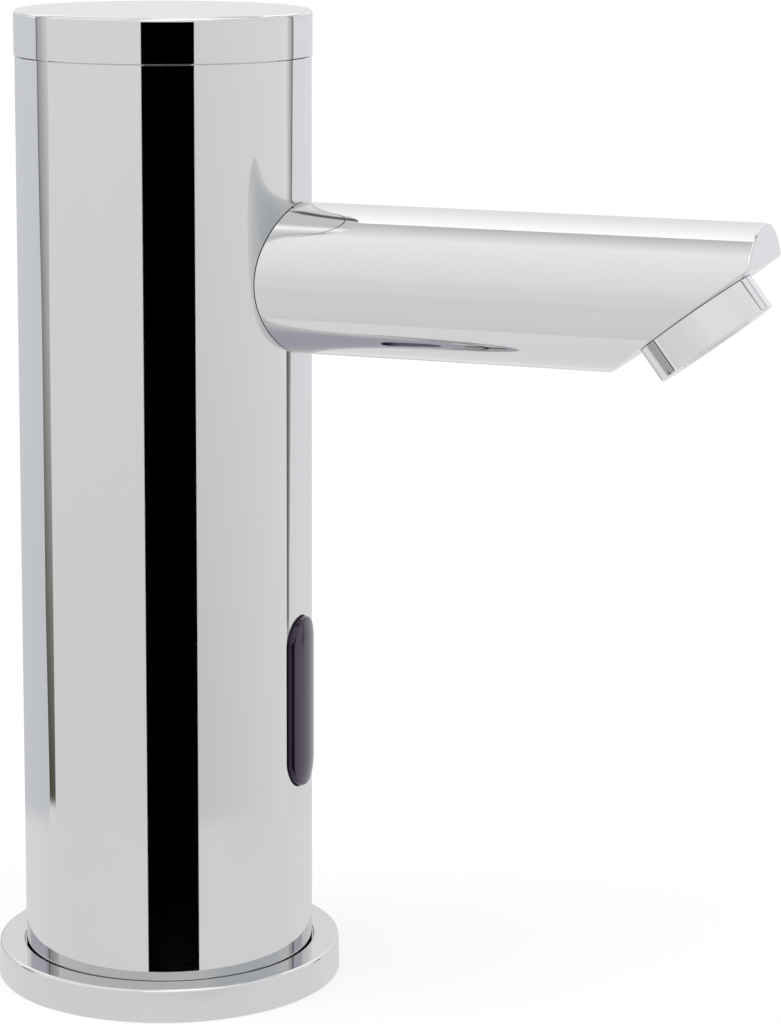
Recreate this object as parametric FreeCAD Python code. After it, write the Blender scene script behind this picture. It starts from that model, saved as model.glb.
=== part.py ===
import FreeCAD, Part

import math
import os

# Touchless basin tap. Millimetres. The origin is on the column's axis at the deck's surface,
# +Z points up and +X points along the spout, so the sensor window faces +X as well.

# Clearances, shared by every seat in the part.
FIT = 0.1            # still pieces that seat in or on one another
RUN = 0.05           # pieces that slide in or on one another
ROOM = 0.5           # free space between neighbours that don't touch

# Column: a drawn tube that stands on the deck.
BODY_D = 56.0
BODY_WALL = 2.5
BODY_H = 179.0
BODY_EDGE = 0.6      # round of the tube's top edge

# Foot: the turned disc that closes the tube and takes the stud and the supply hose.
FOOT_H = 14.0
STUD_X = 12.0
STUD_R = 3.4         # tapping bore of M8
STUD_DEPTH = 11.0
INLET_THREAD_R = 4.5   # tapping bore of M10 x 1
INLET_THREAD_DEPTH = 8.0
INLET_PASSAGE_R = 3.5
GASKET_R = 23.8
GASKET_WIDTH = 3.6
GASKET_T = 1.4
FOOT_SCREW_Z = 3.2
FOOT_SCREW_COUNT = 3
FOOT_SCREW_START = 60.0

# Ring that covers the foot screws and the hole in the deck.
RING_TOP_D = 66.4
RING_BOTTOM_D = 66.8
RING_H = 6.4
RING_GAP = 0.5       # dark gap between the ring and the column
RING_EDGE = 0.6

# Cap: closes the column and lifts off to reach the cells.
CAP_JOINT = 0.2
CAP_H = 8.5
CAP_LIP = 0.15       # how far the cap stands past the column's side
CAP_TOP_EDGE = 1.1
CAP_BOTTOM_EDGE = 0.7
CAP_PLATE = 3.5
SPIGOT_WALL = 2.9
SPIGOT_H = 6.5
O_RING_R = 0.9       # section radius of the cap's O-ring
CAP_O_RING_DROP = 3.2

# Spout: a tube with a solid slanted end that holds the aerator.
SPOUT_D = 28.4
SPOUT_WALL = 1.5
SPOUT_Z = 138.0
SPOUT_REACH = 117.1      # column axis to the upright end face
SPOUT_CUT_FOOT = 89.2    # column axis to where the slanted face meets the spout's underside
SPOUT_CUT_ANGLE = 37.25
SPOUT_END_WALL = 4.2     # metal between the spout's bore and the foot of the slanted face
SPOUT_JOINT = 0.15
SPOUT_NOSE_EDGE = 1.2    # round between the end face and the slanted face
SPOUT_EDGE = 0.25

# What clamps the spout to the column from inside.
SPIGOT_TUBE_WALL = 2.6
SPIGOT_TUBE_IN = 22.0    # how far the threaded tube reaches into the spout
NUT_WALL = 2.4
NUT_T = 5.0
NUT_SLOT = 3.0
SADDLE_T = 0.6           # thinnest part of the saddle washer

# Aerator, square to the slanted face.
AERATOR_D = 24.0
AERATOR_PROUD = 7.6
AERATOR_PLACE = 19.15    # along the slanted face from the spout's underside to the aerator's axis
AERATOR_EDGE = 1.0
AERATOR_THREAD_D = 22.0
AERATOR_BORE_DEPTH = 8.0
AERATOR_SHANK = 6.5
AERATOR_WALL = 1.4
AERATOR_LIP = 1.4
AERATOR_LIP_T = 1.2
AERATOR_WASHER_T = 1.2
INSERT_WALL = 1.0
INSERT_GRID = 1.6
INSERT_HOLE_R = 0.62
INSERT_PITCH = 1.7
INSERT_RINGS = 4

# Sensor window: a flanged lens pushed through a slot in the column from inside.
WINDOW_W = 11.2
WINDOW_H = 33.4
WINDOW_Z = 56.2
WINDOW_PROUD = 0.3
WINDOW_FLANGE = 1.5
WINDOW_FLANGE_T = 1.4
WINDOW_GASKET_T = 0.55

# Sensor unit behind the window.
SENSOR_W = 15.0
SENSOR_DEPTH = 13.7
SENSOR_MARGIN = 2.5      # how far the unit reaches past the window, above and below
SENSOR_WALL = 1.5
BOARD_T = 1.6
EYE_R = 2.5
EYE_BASE = 3.4
EYE_SPREAD = 16.0
EYE_SETBACK = 0.4
BRACKET_T = 1.2
BRACKET_W = 18.0
BRACKET_TAB = 9.0
SENSOR_SCREW_INSET = 4.0

# Inlet column: strainer and non-return valve above the supply hose.
INLET_R = 9.0
INLET_SPIGOT_R = 8.0
INLET_SPIGOT_H = 3.9
INLET_H = 30.0
INLET_BORE_R = 6.5
INLET_BORE_H = 27.9
INLET_EAR_R = 4.0
INLET_EAR_T = 3.0
INLET_EAR_REACH = 12.0
INLET_EAR_ANGLE = 55.0
STRAINER_H = 7.6
STRAINER_WALL = 0.8
STRAINER_SLOTS = 10
STRAINER_SLOT_W = 1.4
CHECK_H = 17.8
CHECK_WALL = 1.3
CHECK_SEAT_R = 3.0
CHECK_SEAT_T = 2.0
CHECK_SPIDER_T = 2.0
CHECK_GUIDE_R = 1.6
CHECK_LEG_W = 1.6
CHECK_HUB_R = 2.6
POPPET_R = 4.2
POPPET_T = 2.0
POPPET_STEM_R = 1.5

# Riser from the non-return valve to the solenoid valve.
RISER_R = 4.0
RISER_WALL = 1.2
RISER_SEAT = 3.0

# Solenoid valve.
SHELF_Z = 78.0
SHELF_T = 2.0
VALVE_R = 11.0
VALVE_H = 18.0
VALVE_OFFSET = 6.5       # from the riser's axis to the valve's axis
VALVE_SCREW_INSET = 3.0
VALVE_INLET_R = 2.2
SEAT_BORE_R = 3.2
SEAT_WALL = 1.0
SEAT_DROP = 3.0          # seat's top below the valve body's top
CHAMBER_R = 8.8
CHAMBER_H = 7.5
PORT_R = 2.6
PORT_Z = 7.0
ARM_W = 11.0
ARM_H = 12.0
NIPPLE_R = 3.4
NIPPLE_BORE_R = 2.2
NIPPLE_H = 8.0
EAR_R = 2.6
EAR_H = 6.0
EAR_REACH = 13.0
BONNET_H = 10.0
BONNET_EAR_H = 3.0
PISTON_R = 7.95
PISTON_H = 6.0
PISTON_LIFT = 2.5
PISTON_REST = 0.2        # above the seat
PILOT_R = 0.8
PISTON_SEAL_WALL = 2.4
PISTON_SEAL_T = 1.2
PLUNGER_R = 3.5
PLUNGER_H = 15.6
GUIDE_WALL = 0.9
GUIDE_TOP_T = 1.0
GUIDE_H = 19.5           # from the bonnet's top to the guide tube's end
BOBBIN_FLANGE_T = 1.4
BOBBIN_WALL = 0.8
COIL_R = 10.0
COIL_H = 16.0
YOKE_T = 1.2
YOKE_W = 14.0
SPRING_WIRE_R = 0.3
PLUNGER_SPRING_R = 2.6
PLUNGER_SPRING_TURNS = 6
CHECK_SPRING_R = 2.9
CHECK_SPRING_TURNS = 6

# Water tube from the valve to the aerator.
WATERWAY_R = 5.0
WATERWAY_WALL = 1.5
WATERWAY_BEND = 10.0
WATERWAY_SEAT = 6.0
WATERWAY_PASSAGE_R = 3.5
CLIP_W = 3.0
CLIP_T = 0.8
CLIP_RISE = 2.0

# Carrier: the moulded half sleeve that holds everything inside the column.
CARRIER_WALL = 1.3
CARRIER_ARC = 140.0
CARRIER_FOOT_T = 2.5
CARRIER_FOOT_R = 4.0
CARRIER_FOOT_ANGLE = 125.0
CARRIER_FOOT_INSET = 4.5
TOP_SHELF_T = 1.9
TOP_SHELF_FRONT = 13.0

# Control board.
CONTROL_X = 16.0
CONTROL_W = 26.0
CONTROL_H = 38.6
CONTROL_POST = 4.0
CONTROL_RAIL = 3.0       # how far each slot post reaches in from the board's side
CHIP_W = 8.0
CHIP_T = 1.5
CAPACITOR_R = 2.5
CAPACITOR_H = 10.0
CAPACITOR_Y = -8.0
CONNECTOR_W = 6.0
CONNECTOR_T = 1.8
CONNECTOR_H = 6.0
CONNECTOR_Y = 4.0
CONNECTOR_RISE = 4.0

# Leads.
LEAD_R = 0.8
LEAD_BEND = 3.0
COIL_LEAD_Z = 116.0
COIL_LEAD_Y = 9.5
COIL_LEAD_KNEE = 5.0
BATTERY_LEAD_X = 8.0
BATTERY_LEAD_TURN_Z = 116.0
BATTERY_LEAD_END_Z = 108.0
BATTERY_LEAD_END_Y = -11.0

# Cells and their tray.
CELL_R = 8.5
CELL_L = 34.5
CELL_NUB_R = 3.0
CELL_NUB_H = 0.7
CELL_PITCH = 17.2
TRAY_FLOOR = 1.5
TRAY_WALL = 1.5
TRAY_RISE = 11.0
CONTACT_T = 0.4
CONTACT_H = 9.0
TRAY_SCREW_Y = 12.0

# Screws: tapping bore, shank and head of the sizes used.
M3 = (1.25, 1.45, 2.7, 1.8)
M2 = (0.8, 0.95, 1.8, 1.3)
SCREW_BITE = 6.0

# Places that follow from the sizes above.
BODY_R = BODY_D / 2
BORE_R = BODY_R - BODY_WALL
SPOUT_R = SPOUT_D / 2
SPOUT_BORE_R = SPOUT_R - SPOUT_WALL
SPIGOT_TUBE_R = SPOUT_BORE_R - FIT
CUT = math.radians(SPOUT_CUT_ANGLE)
CARRIER_R = BORE_R - 3 * FIT
CARRIER_BORE = CARRIER_R - CARRIER_WALL
INLET_X = -(CARRIER_BORE - ROOM - 4 * FIT - INLET_R)
VALVE_X = INLET_X + VALVE_OFFSET
OUTLET_X = VALVE_X + VALVE_R + ROOM + WATERWAY_R + CLIP_T
VALVE_Z = SHELF_Z + SHELF_T
VALVE_TOP = VALVE_Z + VALVE_H
SEAT_Z = VALVE_TOP - SEAT_DROP
BONNET_TOP = VALVE_TOP + BONNET_H
PISTON_Z = SEAT_Z + PISTON_REST
PLUNGER_Z = PISTON_Z + PISTON_H + PISTON_REST
GUIDE_END = BONNET_TOP + GUIDE_H
COIL_Z = BONNET_TOP + ROOM
TRAY_Z = SPOUT_Z + SPIGOT_TUBE_R + NUT_WALL + ROOM
CELL_Z = TRAY_Z + TRAY_FLOOR + FIT + CELL_R
BATTERY_LEAD_Y = -(CELL_L / 2 + CELL_NUB_H + RUN)
TOP_SHELF_Z = TRAY_Z - FIT - TOP_SHELF_T
CAP_Z = BODY_H + CAP_JOINT
INLET_Z = FOOT_H + FIT
CHECK_Z = FOOT_H - INLET_SPIGOT_H + STRAINER_H + 2 * FIT
WINDOW_FLANGE_R = BORE_R - RUN - WINDOW_GASKET_T - RUN
WINDOW_BACK_R = WINDOW_FLANGE_R - WINDOW_FLANGE_T
FLANGE_HALF = WINDOW_W / 2 + WINDOW_FLANGE
SENSOR_FRONT = math.sqrt(WINDOW_BACK_R ** 2 - FLANGE_HALF ** 2) - 4 * FIT
SENSOR_BACK = SENSOR_FRONT - SENSOR_DEPTH
SENSOR_Z0 = WINDOW_Z - WINDOW_H / 2 - SENSOR_MARGIN
SENSOR_Z1 = WINDOW_Z + WINDOW_H / 2 + SENSOR_MARGIN
SENSOR_BOARD_X = SENSOR_FRONT - EYE_SETBACK - EYE_R - EYE_BASE - BOARD_T
BRACKET_X = SENSOR_BACK - FIT - BRACKET_T
NUT_X1 = math.sqrt(BORE_R ** 2 - (SPIGOT_TUBE_R + NUT_WALL) ** 2) - SADDLE_T
NUT_X0 = NUT_X1 - NUT_T


def vec(x, y, z):
    """A point or direction."""
    return FreeCAD.Vector(x, y, z)


def rod(r, z0, z1, x=0.0, y=0.0):
    """Upright round bar."""
    return Part.makeCylinder(r, z1 - z0, vec(x, y, z0))


def tube(r_out, r_in, z0, z1, x=0.0, y=0.0):
    """Upright round tube, flat at both ends."""
    return rod(r_out, z0, z1, x, y).cut(rod(r_in, z0 - 1, z1 + 1, x, y))


def bar(r, x0, x1, y=0.0, z=0.0):
    """Round bar that lies along X."""
    return Part.makeCylinder(r, x1 - x0, vec(x0, y, z), vec(1, 0, 0))


def box(x0, x1, y0, y1, z0, z1):
    """Block between six planes."""
    return Part.makeBox(x1 - x0, y1 - y0, z1 - z0, vec(x0, y0, z0))


def union(shapes):
    """One solid from shapes that overlap."""
    first, rest = shapes[0], shapes[1:]
    return first.multiFuse(rest).removeSplitter()


def round_edges(shape, radius, test):
    """The shape with a round on each edge whose box and curve pass the test."""
    chosen = [edge for edge in shape.Edges if test(edge.BoundBox)]
    return shape.makeFillet(radius, chosen)


def flat_at(box_, z):
    """Whether an edge's box lies in the level plane at z."""
    return abs(box_.ZMin - z) < 0.01 and abs(box_.ZMax - z) < 0.01


def around(count, start, radius, x=0.0, y=0.0):
    """Points spaced evenly round a circle, from a start angle in degrees."""
    points = []
    for i in range(count):
        angle = math.radians(start + 360.0 * i / count)
        points.append((x + radius * math.cos(angle), y + radius * math.sin(angle)))
    return points


def mirrored(angle, radius, x=0.0):
    """Two points at plus and minus an angle in degrees."""
    a = math.radians(angle)
    return [(x + radius * math.cos(a), side * radius * math.sin(a)) for side in (1, -1)]


def stadium(width, height, z, x0, x1):
    """Prism along X with an upright stadium section: two half rounds and two straight sides."""
    r = width / 2
    straight = height - width
    middle = box(x0, x1, -r, r, z - straight / 2, z + straight / 2)
    low = bar(r, x0, x1, 0, z - straight / 2)
    high = bar(r, x0, x1, 0, z + straight / 2)
    return union([middle, low, high])


def screw_down(size, x, y, z, bite):
    """Pan-head screw whose head rests on the level z and whose shank goes down."""
    shank, head_r, head_h = size[1], size[2], size[3]
    return union([rod(head_r, z, z + head_h, x, y), rod(shank, z - bite, z + 0.1, x, y)])


def screw_up(size, x, y, z, bite):
    """Pan-head screw whose head hangs under the level z and whose shank goes up."""
    shank, head_r, head_h = size[1], size[2], size[3]
    return union([rod(head_r, z - head_h, z, x, y), rod(shank, z - 0.1, z + bite, x, y)])


def arc_between(start, meet, end):
    """Arc that leaves start and reaches end along the two lines through the point meet."""
    inward = (start - meet).normalize()
    outward = (end - meet).normalize()
    half_turn = (math.pi - inward.getAngle(outward)) / 2
    weight = math.cos(half_turn)
    middle = ((start + end) * 0.5 + meet * weight) * (1 / (1 + weight))
    return Part.Arc(start, middle, end).toShape()


def bent_path(points, bend):
    """Wire of straight runs joined by tangent arcs of one radius."""
    edges = []
    last = points[0]
    for before, corner, after in zip(points, points[1:], points[2:]):
        inward = (before - corner).normalize()
        outward = (after - corner).normalize()
        reach = bend / math.tan(inward.getAngle(outward) / 2)
        start = corner + inward * reach
        end = corner + outward * reach
        edges.append(Part.LineSegment(last, start).toShape())
        edges.append(arc_between(start, corner, end))
        last = end
    edges.append(Part.LineSegment(last, points[-1]).toShape())
    return Part.Wire(edges)


def sweep(path, r):
    """Round bar along a wire."""
    first = path.OrderedEdges[0]
    start = first.valueAt(first.FirstParameter)
    heading = first.tangentAt(first.FirstParameter)
    section = Part.Wire(Part.Circle(start, heading, r).toShape())
    return path.makePipeShell([section], True, False)


def spring(radius, z0, z1, turns, x):
    """Wire coil between two levels about the upright line at x: two tangent arcs a quarter turn."""
    quarters = 4 * turns
    rise = (z1 - z0 - 2 * SPRING_WIRE_R) / quarters
    edges = []
    places = []
    headings = []
    for i in range(quarters + 1):
        angle = i * math.pi / 2
        along = vec(-radius * math.sin(angle), radius * math.cos(angle), rise / (math.pi / 2))
        places.append(vec(x + radius * math.cos(angle), radius * math.sin(angle),
                          z0 + SPRING_WIRE_R + rise * i))
        headings.append(along.normalize())
    for p, t, q, u in zip(places, headings, places[1:], headings[1:]):
        gap = p - q
        both = t + u
        bend = 2 * (1 - t.dot(u))
        reach = (gap.dot(both) + math.sqrt(gap.dot(both) ** 2 + bend * gap.dot(gap))) / bend
        middle = ((p + t * reach) + (q - u * reach)) * 0.5
        edges.append(arc_between(p, p + t * reach, middle))
        edges.append(arc_between(middle, q - u * reach, q))
    return sweep(Part.Wire(edges), SPRING_WIRE_R)


def on_slant(shape, place):
    """Move a shape drawn about +Z so that +Z is the slanted face's outward normal."""
    foot = vec(SPOUT_CUT_FOOT, 0, SPOUT_Z - SPOUT_R)
    origin = foot + vec(math.cos(CUT), 0, math.sin(CUT)) * place
    turn = FreeCAD.Rotation(vec(0, 1, 0), 180 - SPOUT_CUT_ANGLE)
    moved = shape.copy()
    moved.Placement = FreeCAD.Placement(origin, turn).multiply(moved.Placement)
    return moved


# Positions shared by screws and the holes they go into.
FOOT_SCREWS = around(FOOT_SCREW_COUNT, FOOT_SCREW_START, BORE_R)
INLET_EARS = mirrored(INLET_EAR_ANGLE, INLET_EAR_REACH, INLET_X)
CARRIER_FEET = mirrored(CARRIER_FOOT_ANGLE, CARRIER_R - CARRIER_FOOT_INSET)
BRACKET_SCREW = (BRACKET_X - BRACKET_TAB / 2, 0.0)
BONNET_EARS = around(4, 45.0, EAR_REACH, VALVE_X)
VALVE_SCREWS = [(VALVE_X, side * (VALVE_R - VALVE_SCREW_INSET)) for side in (1, -1)]
SENSOR_SCREW_ZS = (SENSOR_Z0 + SENSOR_SCREW_INSET, SENSOR_Z1 - SENSOR_SCREW_INSET)
TRAY_SCREWS = [(0.0, side * TRAY_SCREW_Y) for side in (1, -1)]


def radial_screw(x, y):
    """Countersunk screw through the column's wall into the foot, flush with the column."""
    outward = vec(x, y, 0).normalize()
    tip = outward * (BORE_R - SCREW_BITE) + vec(0, 0, FOOT_SCREW_Z)
    shank = Part.makeCylinder(M3[1], BODY_WALL + SCREW_BITE - FIT, tip, outward)
    head_depth = M3[2] - M3[1]
    neck = outward * (BODY_R - FIT - head_depth) + vec(0, 0, FOOT_SCREW_Z)
    head = Part.makeCone(M3[1], M3[2], head_depth, neck, outward)
    return union([shank, head])


def radial_hole(x, y, r):
    """Cutter for a radial screw: shank bore and countersink."""
    outward = vec(x, y, 0).normalize()
    inner = outward * (BORE_R - SCREW_BITE - ROOM) + vec(0, 0, FOOT_SCREW_Z)
    bore = Part.makeCylinder(r, BODY_WALL + SCREW_BITE + 2 * ROOM, inner, outward)
    head_depth = M3[2] - M3[1] + 2 * FIT
    neck = outward * (BODY_R - head_depth) + vec(0, 0, FOOT_SCREW_Z)
    sink = Part.makeCone(r, r + head_depth, head_depth, neck, outward)
    lead_out = Part.makeCylinder(r + head_depth, ROOM, neck + outward * head_depth, outward)
    return union([bore, sink, lead_out])


def body_tube():
    """Column: tube with the window's slot, the spout's hole and the foot screws' holes."""
    shape = tube(BODY_R, BORE_R, 0, BODY_H)
    shape = round_edges(shape, BODY_EDGE,
                        lambda b: flat_at(b, BODY_H) and b.XLength > 2 * BORE_R + 1)
    cutters = [stadium(WINDOW_W + 2 * FIT, WINDOW_H + 2 * FIT, WINDOW_Z, 0, BODY_D)]
    cutters.append(bar(SPIGOT_TUBE_R + 2 * FIT, 0, BODY_D, 0, SPOUT_Z))
    for x, y in FOOT_SCREWS:
        cutters.append(radial_hole(x, y, M3[1] + FIT))
    return shape.cut(cutters)


def foot():
    """Disc with the hose thread, the stud thread, the inlet's socket and the screw holes."""
    shape = rod(BORE_R - FIT, 0, FOOT_H)
    socket = FOOT_H - INLET_SPIGOT_H - FIT
    cutters = [rod(INLET_THREAD_R, -1, INLET_THREAD_DEPTH, INLET_X)]
    cutters.append(rod(INLET_PASSAGE_R, 0, FOOT_H, INLET_X))
    cutters.append(rod(INLET_SPIGOT_R + FIT, socket, FOOT_H + 1, INLET_X))
    cutters.append(rod(STUD_R, -1, STUD_DEPTH, STUD_X))
    cutters.append(tube(GASKET_R + FIT, GASKET_R - GASKET_WIDTH - FIT, -1, GASKET_T + FIT))
    for x, y in FOOT_SCREWS:
        outward = vec(x, y, 0).normalize()
        inner = outward * (BORE_R - SCREW_BITE - ROOM) + vec(0, 0, FOOT_SCREW_Z)
        cutters.append(Part.makeCylinder(M3[1] + RUN, SCREW_BITE + 2 * ROOM, inner, outward))
    for x, y in INLET_EARS + CARRIER_FEET + [BRACKET_SCREW]:
        cutters.append(rod(M3[1] + RUN, FOOT_H - SCREW_BITE, FOOT_H + 1, x, y))
    return shape.cut(cutters)


def foot_screws():
    """Screws that hold the foot in the column, hidden behind the ring."""
    return Part.makeCompound([radial_screw(x, y) for x, y in FOOT_SCREWS])


def base_ring():
    """Slightly tapered ring that stands on the deck round the column."""
    blank = Part.makeCone(RING_BOTTOM_D / 2, RING_TOP_D / 2, RING_H)
    blank = round_edges(blank, RING_EDGE, lambda b: flat_at(b, RING_H))
    return blank.cut(rod(BODY_R + RING_GAP, -1, RING_H + 1))


def deck_gasket():
    """Flat rubber ring in the foot's groove, level with the deck."""
    return tube(GASKET_R, GASKET_R - GASKET_WIDTH, 0, GASKET_T)


def cap():
    """Flat cap with a recess under it and a spigot that slides into the column."""
    spigot_r = BORE_R - FIT
    top = CAP_Z + CAP_H
    blank = rod(BODY_R + CAP_LIP, CAP_Z, top)
    blank = round_edges(blank, CAP_TOP_EDGE, lambda b: flat_at(b, top))
    blank = round_edges(blank, CAP_BOTTOM_EDGE, lambda b: flat_at(b, CAP_Z))
    low = CAP_Z - SPIGOT_H
    shape = union([blank, rod(spigot_r, low, CAP_Z + 1)])
    groove_z = CAP_Z - CAP_O_RING_DROP
    groove = tube(BORE_R + 1, BORE_R - 2 * O_RING_R - FIT, groove_z - O_RING_R - FIT,
                  groove_z + O_RING_R + FIT)
    return shape.cut([rod(spigot_r - SPIGOT_WALL, low - 1, top - CAP_PLATE), groove])


def cap_o_ring():
    """Rubber ring in the spigot's groove."""
    return Part.makeTorus(BORE_R - RUN - O_RING_R, O_RING_R, vec(0, 0, CAP_Z - CAP_O_RING_DROP))


def spout_tube():
    """Spout: cut to the column at one end, with a slanted solid end bored for the aerator."""
    shape = bar(SPOUT_R, 0, SPOUT_REACH, 0, SPOUT_Z)
    slab = Part.makeBox(4 * SPOUT_REACH, 2 * SPOUT_D, SPOUT_REACH,
                        vec(-2 * SPOUT_REACH, -SPOUT_D, 0))
    shape = shape.cut(on_slant(slab, 0))
    nose_z = SPOUT_Z - SPOUT_R + (SPOUT_REACH - SPOUT_CUT_FOOT) * math.tan(CUT)
    if nose_z < SPOUT_Z + SPOUT_R - SPOUT_NOSE_EDGE:
        shape = round_edges(shape, SPOUT_NOSE_EDGE,
                            lambda b: flat_at(b, nose_z) and b.XLength < 0.01)
    shape = round_edges(shape, SPOUT_EDGE, lambda b: b.XMax > SPOUT_CUT_FOOT + 1)
    hollow_end = SPOUT_CUT_FOOT - SPOUT_END_WALL
    out_x, out_z = math.sin(CUT), -math.cos(CUT)
    axis_x = SPOUT_CUT_FOOT + AERATOR_PLACE * math.cos(CUT)
    axis_z = SPOUT_Z - SPOUT_R + AERATOR_PLACE * math.sin(CUT)
    reach = axis_x - (AERATOR_BORE_DEPTH + (SPOUT_Z - axis_z) * out_z) / out_x
    bore = rod(AERATOR_THREAD_D / 2, -AERATOR_BORE_DEPTH, 1)
    cutters = [rod(BODY_R + SPOUT_JOINT, 0, SPOUT_Z + BODY_D)]
    cutters.append(bar(SPOUT_BORE_R, 0, hollow_end, 0, SPOUT_Z))
    cutters.append(bar(WATERWAY_R + FIT, 0, hollow_end + WATERWAY_SEAT, 0, SPOUT_Z))
    cutters.append(bar(WATERWAY_PASSAGE_R, 0, reach + 2, 0, SPOUT_Z))
    cutters.append(on_slant(bore, AERATOR_PLACE))
    return shape.cut(cutters)


def spout_spigot():
    """Threaded tube fixed in the spout, which reaches through the column's wall."""
    return bar(SPIGOT_TUBE_R, NUT_X0, BODY_R + SPIGOT_TUBE_IN, 0, SPOUT_Z).cut(
        bar(SPIGOT_TUBE_R - SPIGOT_TUBE_WALL, 0, BODY_D + SPIGOT_TUBE_IN, 0, SPOUT_Z))


def spout_nut():
    """Round nut with four slots, run up the spigot inside the column."""
    shape = bar(SPIGOT_TUBE_R + NUT_WALL, NUT_X0, NUT_X1, 0, SPOUT_Z)
    edge = SPIGOT_TUBE_R + NUT_WALL
    half = NUT_SLOT / 2
    deep = NUT_WALL / 2
    cutters = [bar(SPIGOT_TUBE_R + FIT, NUT_X0 - 1, NUT_X1 + 1, 0, SPOUT_Z)]
    for low, high in ((-edge - 1, -edge + deep), (edge - deep, edge + 1)):
        cutters.append(box(NUT_X0 - 1, NUT_X0 + NUT_T / 2, low, high, SPOUT_Z - half, SPOUT_Z + half))
        cutters.append(box(NUT_X0 - 1, NUT_X0 + NUT_T / 2, -half, half, SPOUT_Z + low, SPOUT_Z + high))
    return shape.cut(cutters)


def saddle_washer():
    """Rubber washer, flat towards the nut and curved to the column's bore."""
    blank = bar(SPIGOT_TUBE_R + NUT_WALL, NUT_X1 + RUN, BORE_R, 0, SPOUT_Z)
    blank = blank.cut(bar(SPIGOT_TUBE_R + FIT, 0, BODY_D, 0, SPOUT_Z))
    return blank.common(rod(BORE_R - RUN, 0, SPOUT_Z + BODY_D))


def spout_waterway():
    """Hose from the valve's outlet, up the column and along the spout."""
    start = vec(OUTLET_X, 0, VALVE_Z + ARM_H + FIT)
    corner = vec(OUTLET_X, 0, SPOUT_Z)
    end = vec(SPOUT_CUT_FOOT - SPOUT_END_WALL + WATERWAY_SEAT - FIT, 0, SPOUT_Z)
    path = bent_path([start, corner, end], WATERWAY_BEND)
    return sweep(path, WATERWAY_R).cut(sweep(path, WATERWAY_R - WATERWAY_WALL))


def waterway_clip():
    """Band that clamps the hose on the valve's outlet."""
    low = VALVE_Z + ARM_H + CLIP_RISE
    inner = WATERWAY_R + RUN
    return tube(inner + CLIP_T, inner, low, low + CLIP_W, OUTLET_X)


def aerator_housing():
    """Chromed sleeve: a threaded shank in the spout and a plain rim that shows."""
    outer = AERATOR_D / 2
    shank = AERATOR_THREAD_D / 2 - RUN
    inner = shank - AERATOR_WALL
    rim = rod(outer, FIT, AERATOR_PROUD)
    rim = round_edges(rim, AERATOR_EDGE, lambda b: flat_at(b, AERATOR_PROUD))
    shape = union([rim, rod(shank, -AERATOR_SHANK, 1)])
    shape = shape.cut([rod(inner, -AERATOR_SHANK - 1, AERATOR_PROUD - AERATOR_LIP_T),
                       rod(inner - AERATOR_LIP, 0, AERATOR_PROUD + 1)])
    return on_slant(shape, AERATOR_PLACE)


def aerator_insert():
    """Plastic cartridge: a cup with a perforated plate at the outlet."""
    r = AERATOR_THREAD_D / 2 - RUN - AERATOR_WALL - FIT
    low = -AERATOR_SHANK
    high = AERATOR_PROUD - AERATOR_LIP_T - FIT
    shape = rod(r, low, high).cut(rod(r - INSERT_WALL, low - 1, high - INSERT_GRID))
    holes = [rod(INSERT_HOLE_R, 0, high + 1)]
    for ring in range(1, INSERT_RINGS + 1):
        for x, y in around(6 * ring, 0.0, ring * INSERT_PITCH):
            holes.append(rod(INSERT_HOLE_R, 0, high + 1, x, y))
    return on_slant(shape.cut(holes), AERATOR_PLACE)


def aerator_washer():
    """Rubber ring between the cartridge and the end of the spout's thread."""
    r = AERATOR_THREAD_D / 2 - RUN
    high = -AERATOR_SHANK - FIT
    ring = tube(r, r - AERATOR_WALL - INSERT_WALL, high - AERATOR_WASHER_T, high)
    return on_slant(ring, AERATOR_PLACE)


def sensor_window():
    """Dark lens that follows the column's curve, with a flange inside the wall."""
    pane = stadium(WINDOW_W, WINDOW_H, WINDOW_Z, 0, BODY_D)
    pane = pane.common(tube(BODY_R + WINDOW_PROUD, WINDOW_BACK_R, 0, BODY_H))
    wide = WINDOW_W + 2 * WINDOW_FLANGE
    tall = WINDOW_H + 2 * WINDOW_FLANGE
    flange = stadium(wide, tall, WINDOW_Z, 0, BODY_D)
    flange = flange.common(tube(WINDOW_FLANGE_R, WINDOW_BACK_R, 0, BODY_H))
    return union([pane, flange])


def window_gasket():
    """Rubber frame between the lens's flange and the column's bore."""
    wide = WINDOW_W + 2 * WINDOW_FLANGE
    tall = WINDOW_H + 2 * WINDOW_FLANGE
    frame = stadium(wide, tall, WINDOW_Z, 0, BODY_D)
    frame = frame.common(tube(BORE_R - RUN, WINDOW_FLANGE_R + RUN, 0, BODY_H))
    return frame.cut(stadium(WINDOW_W + 2 * FIT, WINDOW_H + 2 * FIT, WINDOW_Z, 0, BODY_D))


def sensor_housing():
    """Box open towards the lens, with a light barrier between the two eyes."""
    half = SENSOR_W / 2
    inner = half - SENSOR_WALL
    shape = box(SENSOR_BACK, SENSOR_FRONT, -half, half, SENSOR_Z0, SENSOR_Z1)
    room = box(SENSOR_BACK + SENSOR_WALL, SENSOR_FRONT + 1, -inner, inner,
               SENSOR_Z0 + SENSOR_WALL, SENSOR_Z1 - SENSOR_WALL)
    barrier = box(SENSOR_BOARD_X + BOARD_T + FIT, SENSOR_FRONT, -half, half,
                  WINDOW_Z - SENSOR_WALL / 2, WINDOW_Z + SENSOR_WALL / 2)
    shape = union([shape.cut(room), barrier])
    lead_x = SENSOR_BOARD_X + BOARD_T / 2
    cutters = [rod(LEAD_R + 2 * FIT, WINDOW_Z, SENSOR_Z1 + 1, lead_x, CONNECTOR_Y)]
    for z in SENSOR_SCREW_ZS:
        cutters.append(bar(M2[1] + RUN, SENSOR_BACK - 1, SENSOR_BACK + SENSOR_WALL + 1, 0, z))
    return shape.cut(cutters)


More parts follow.
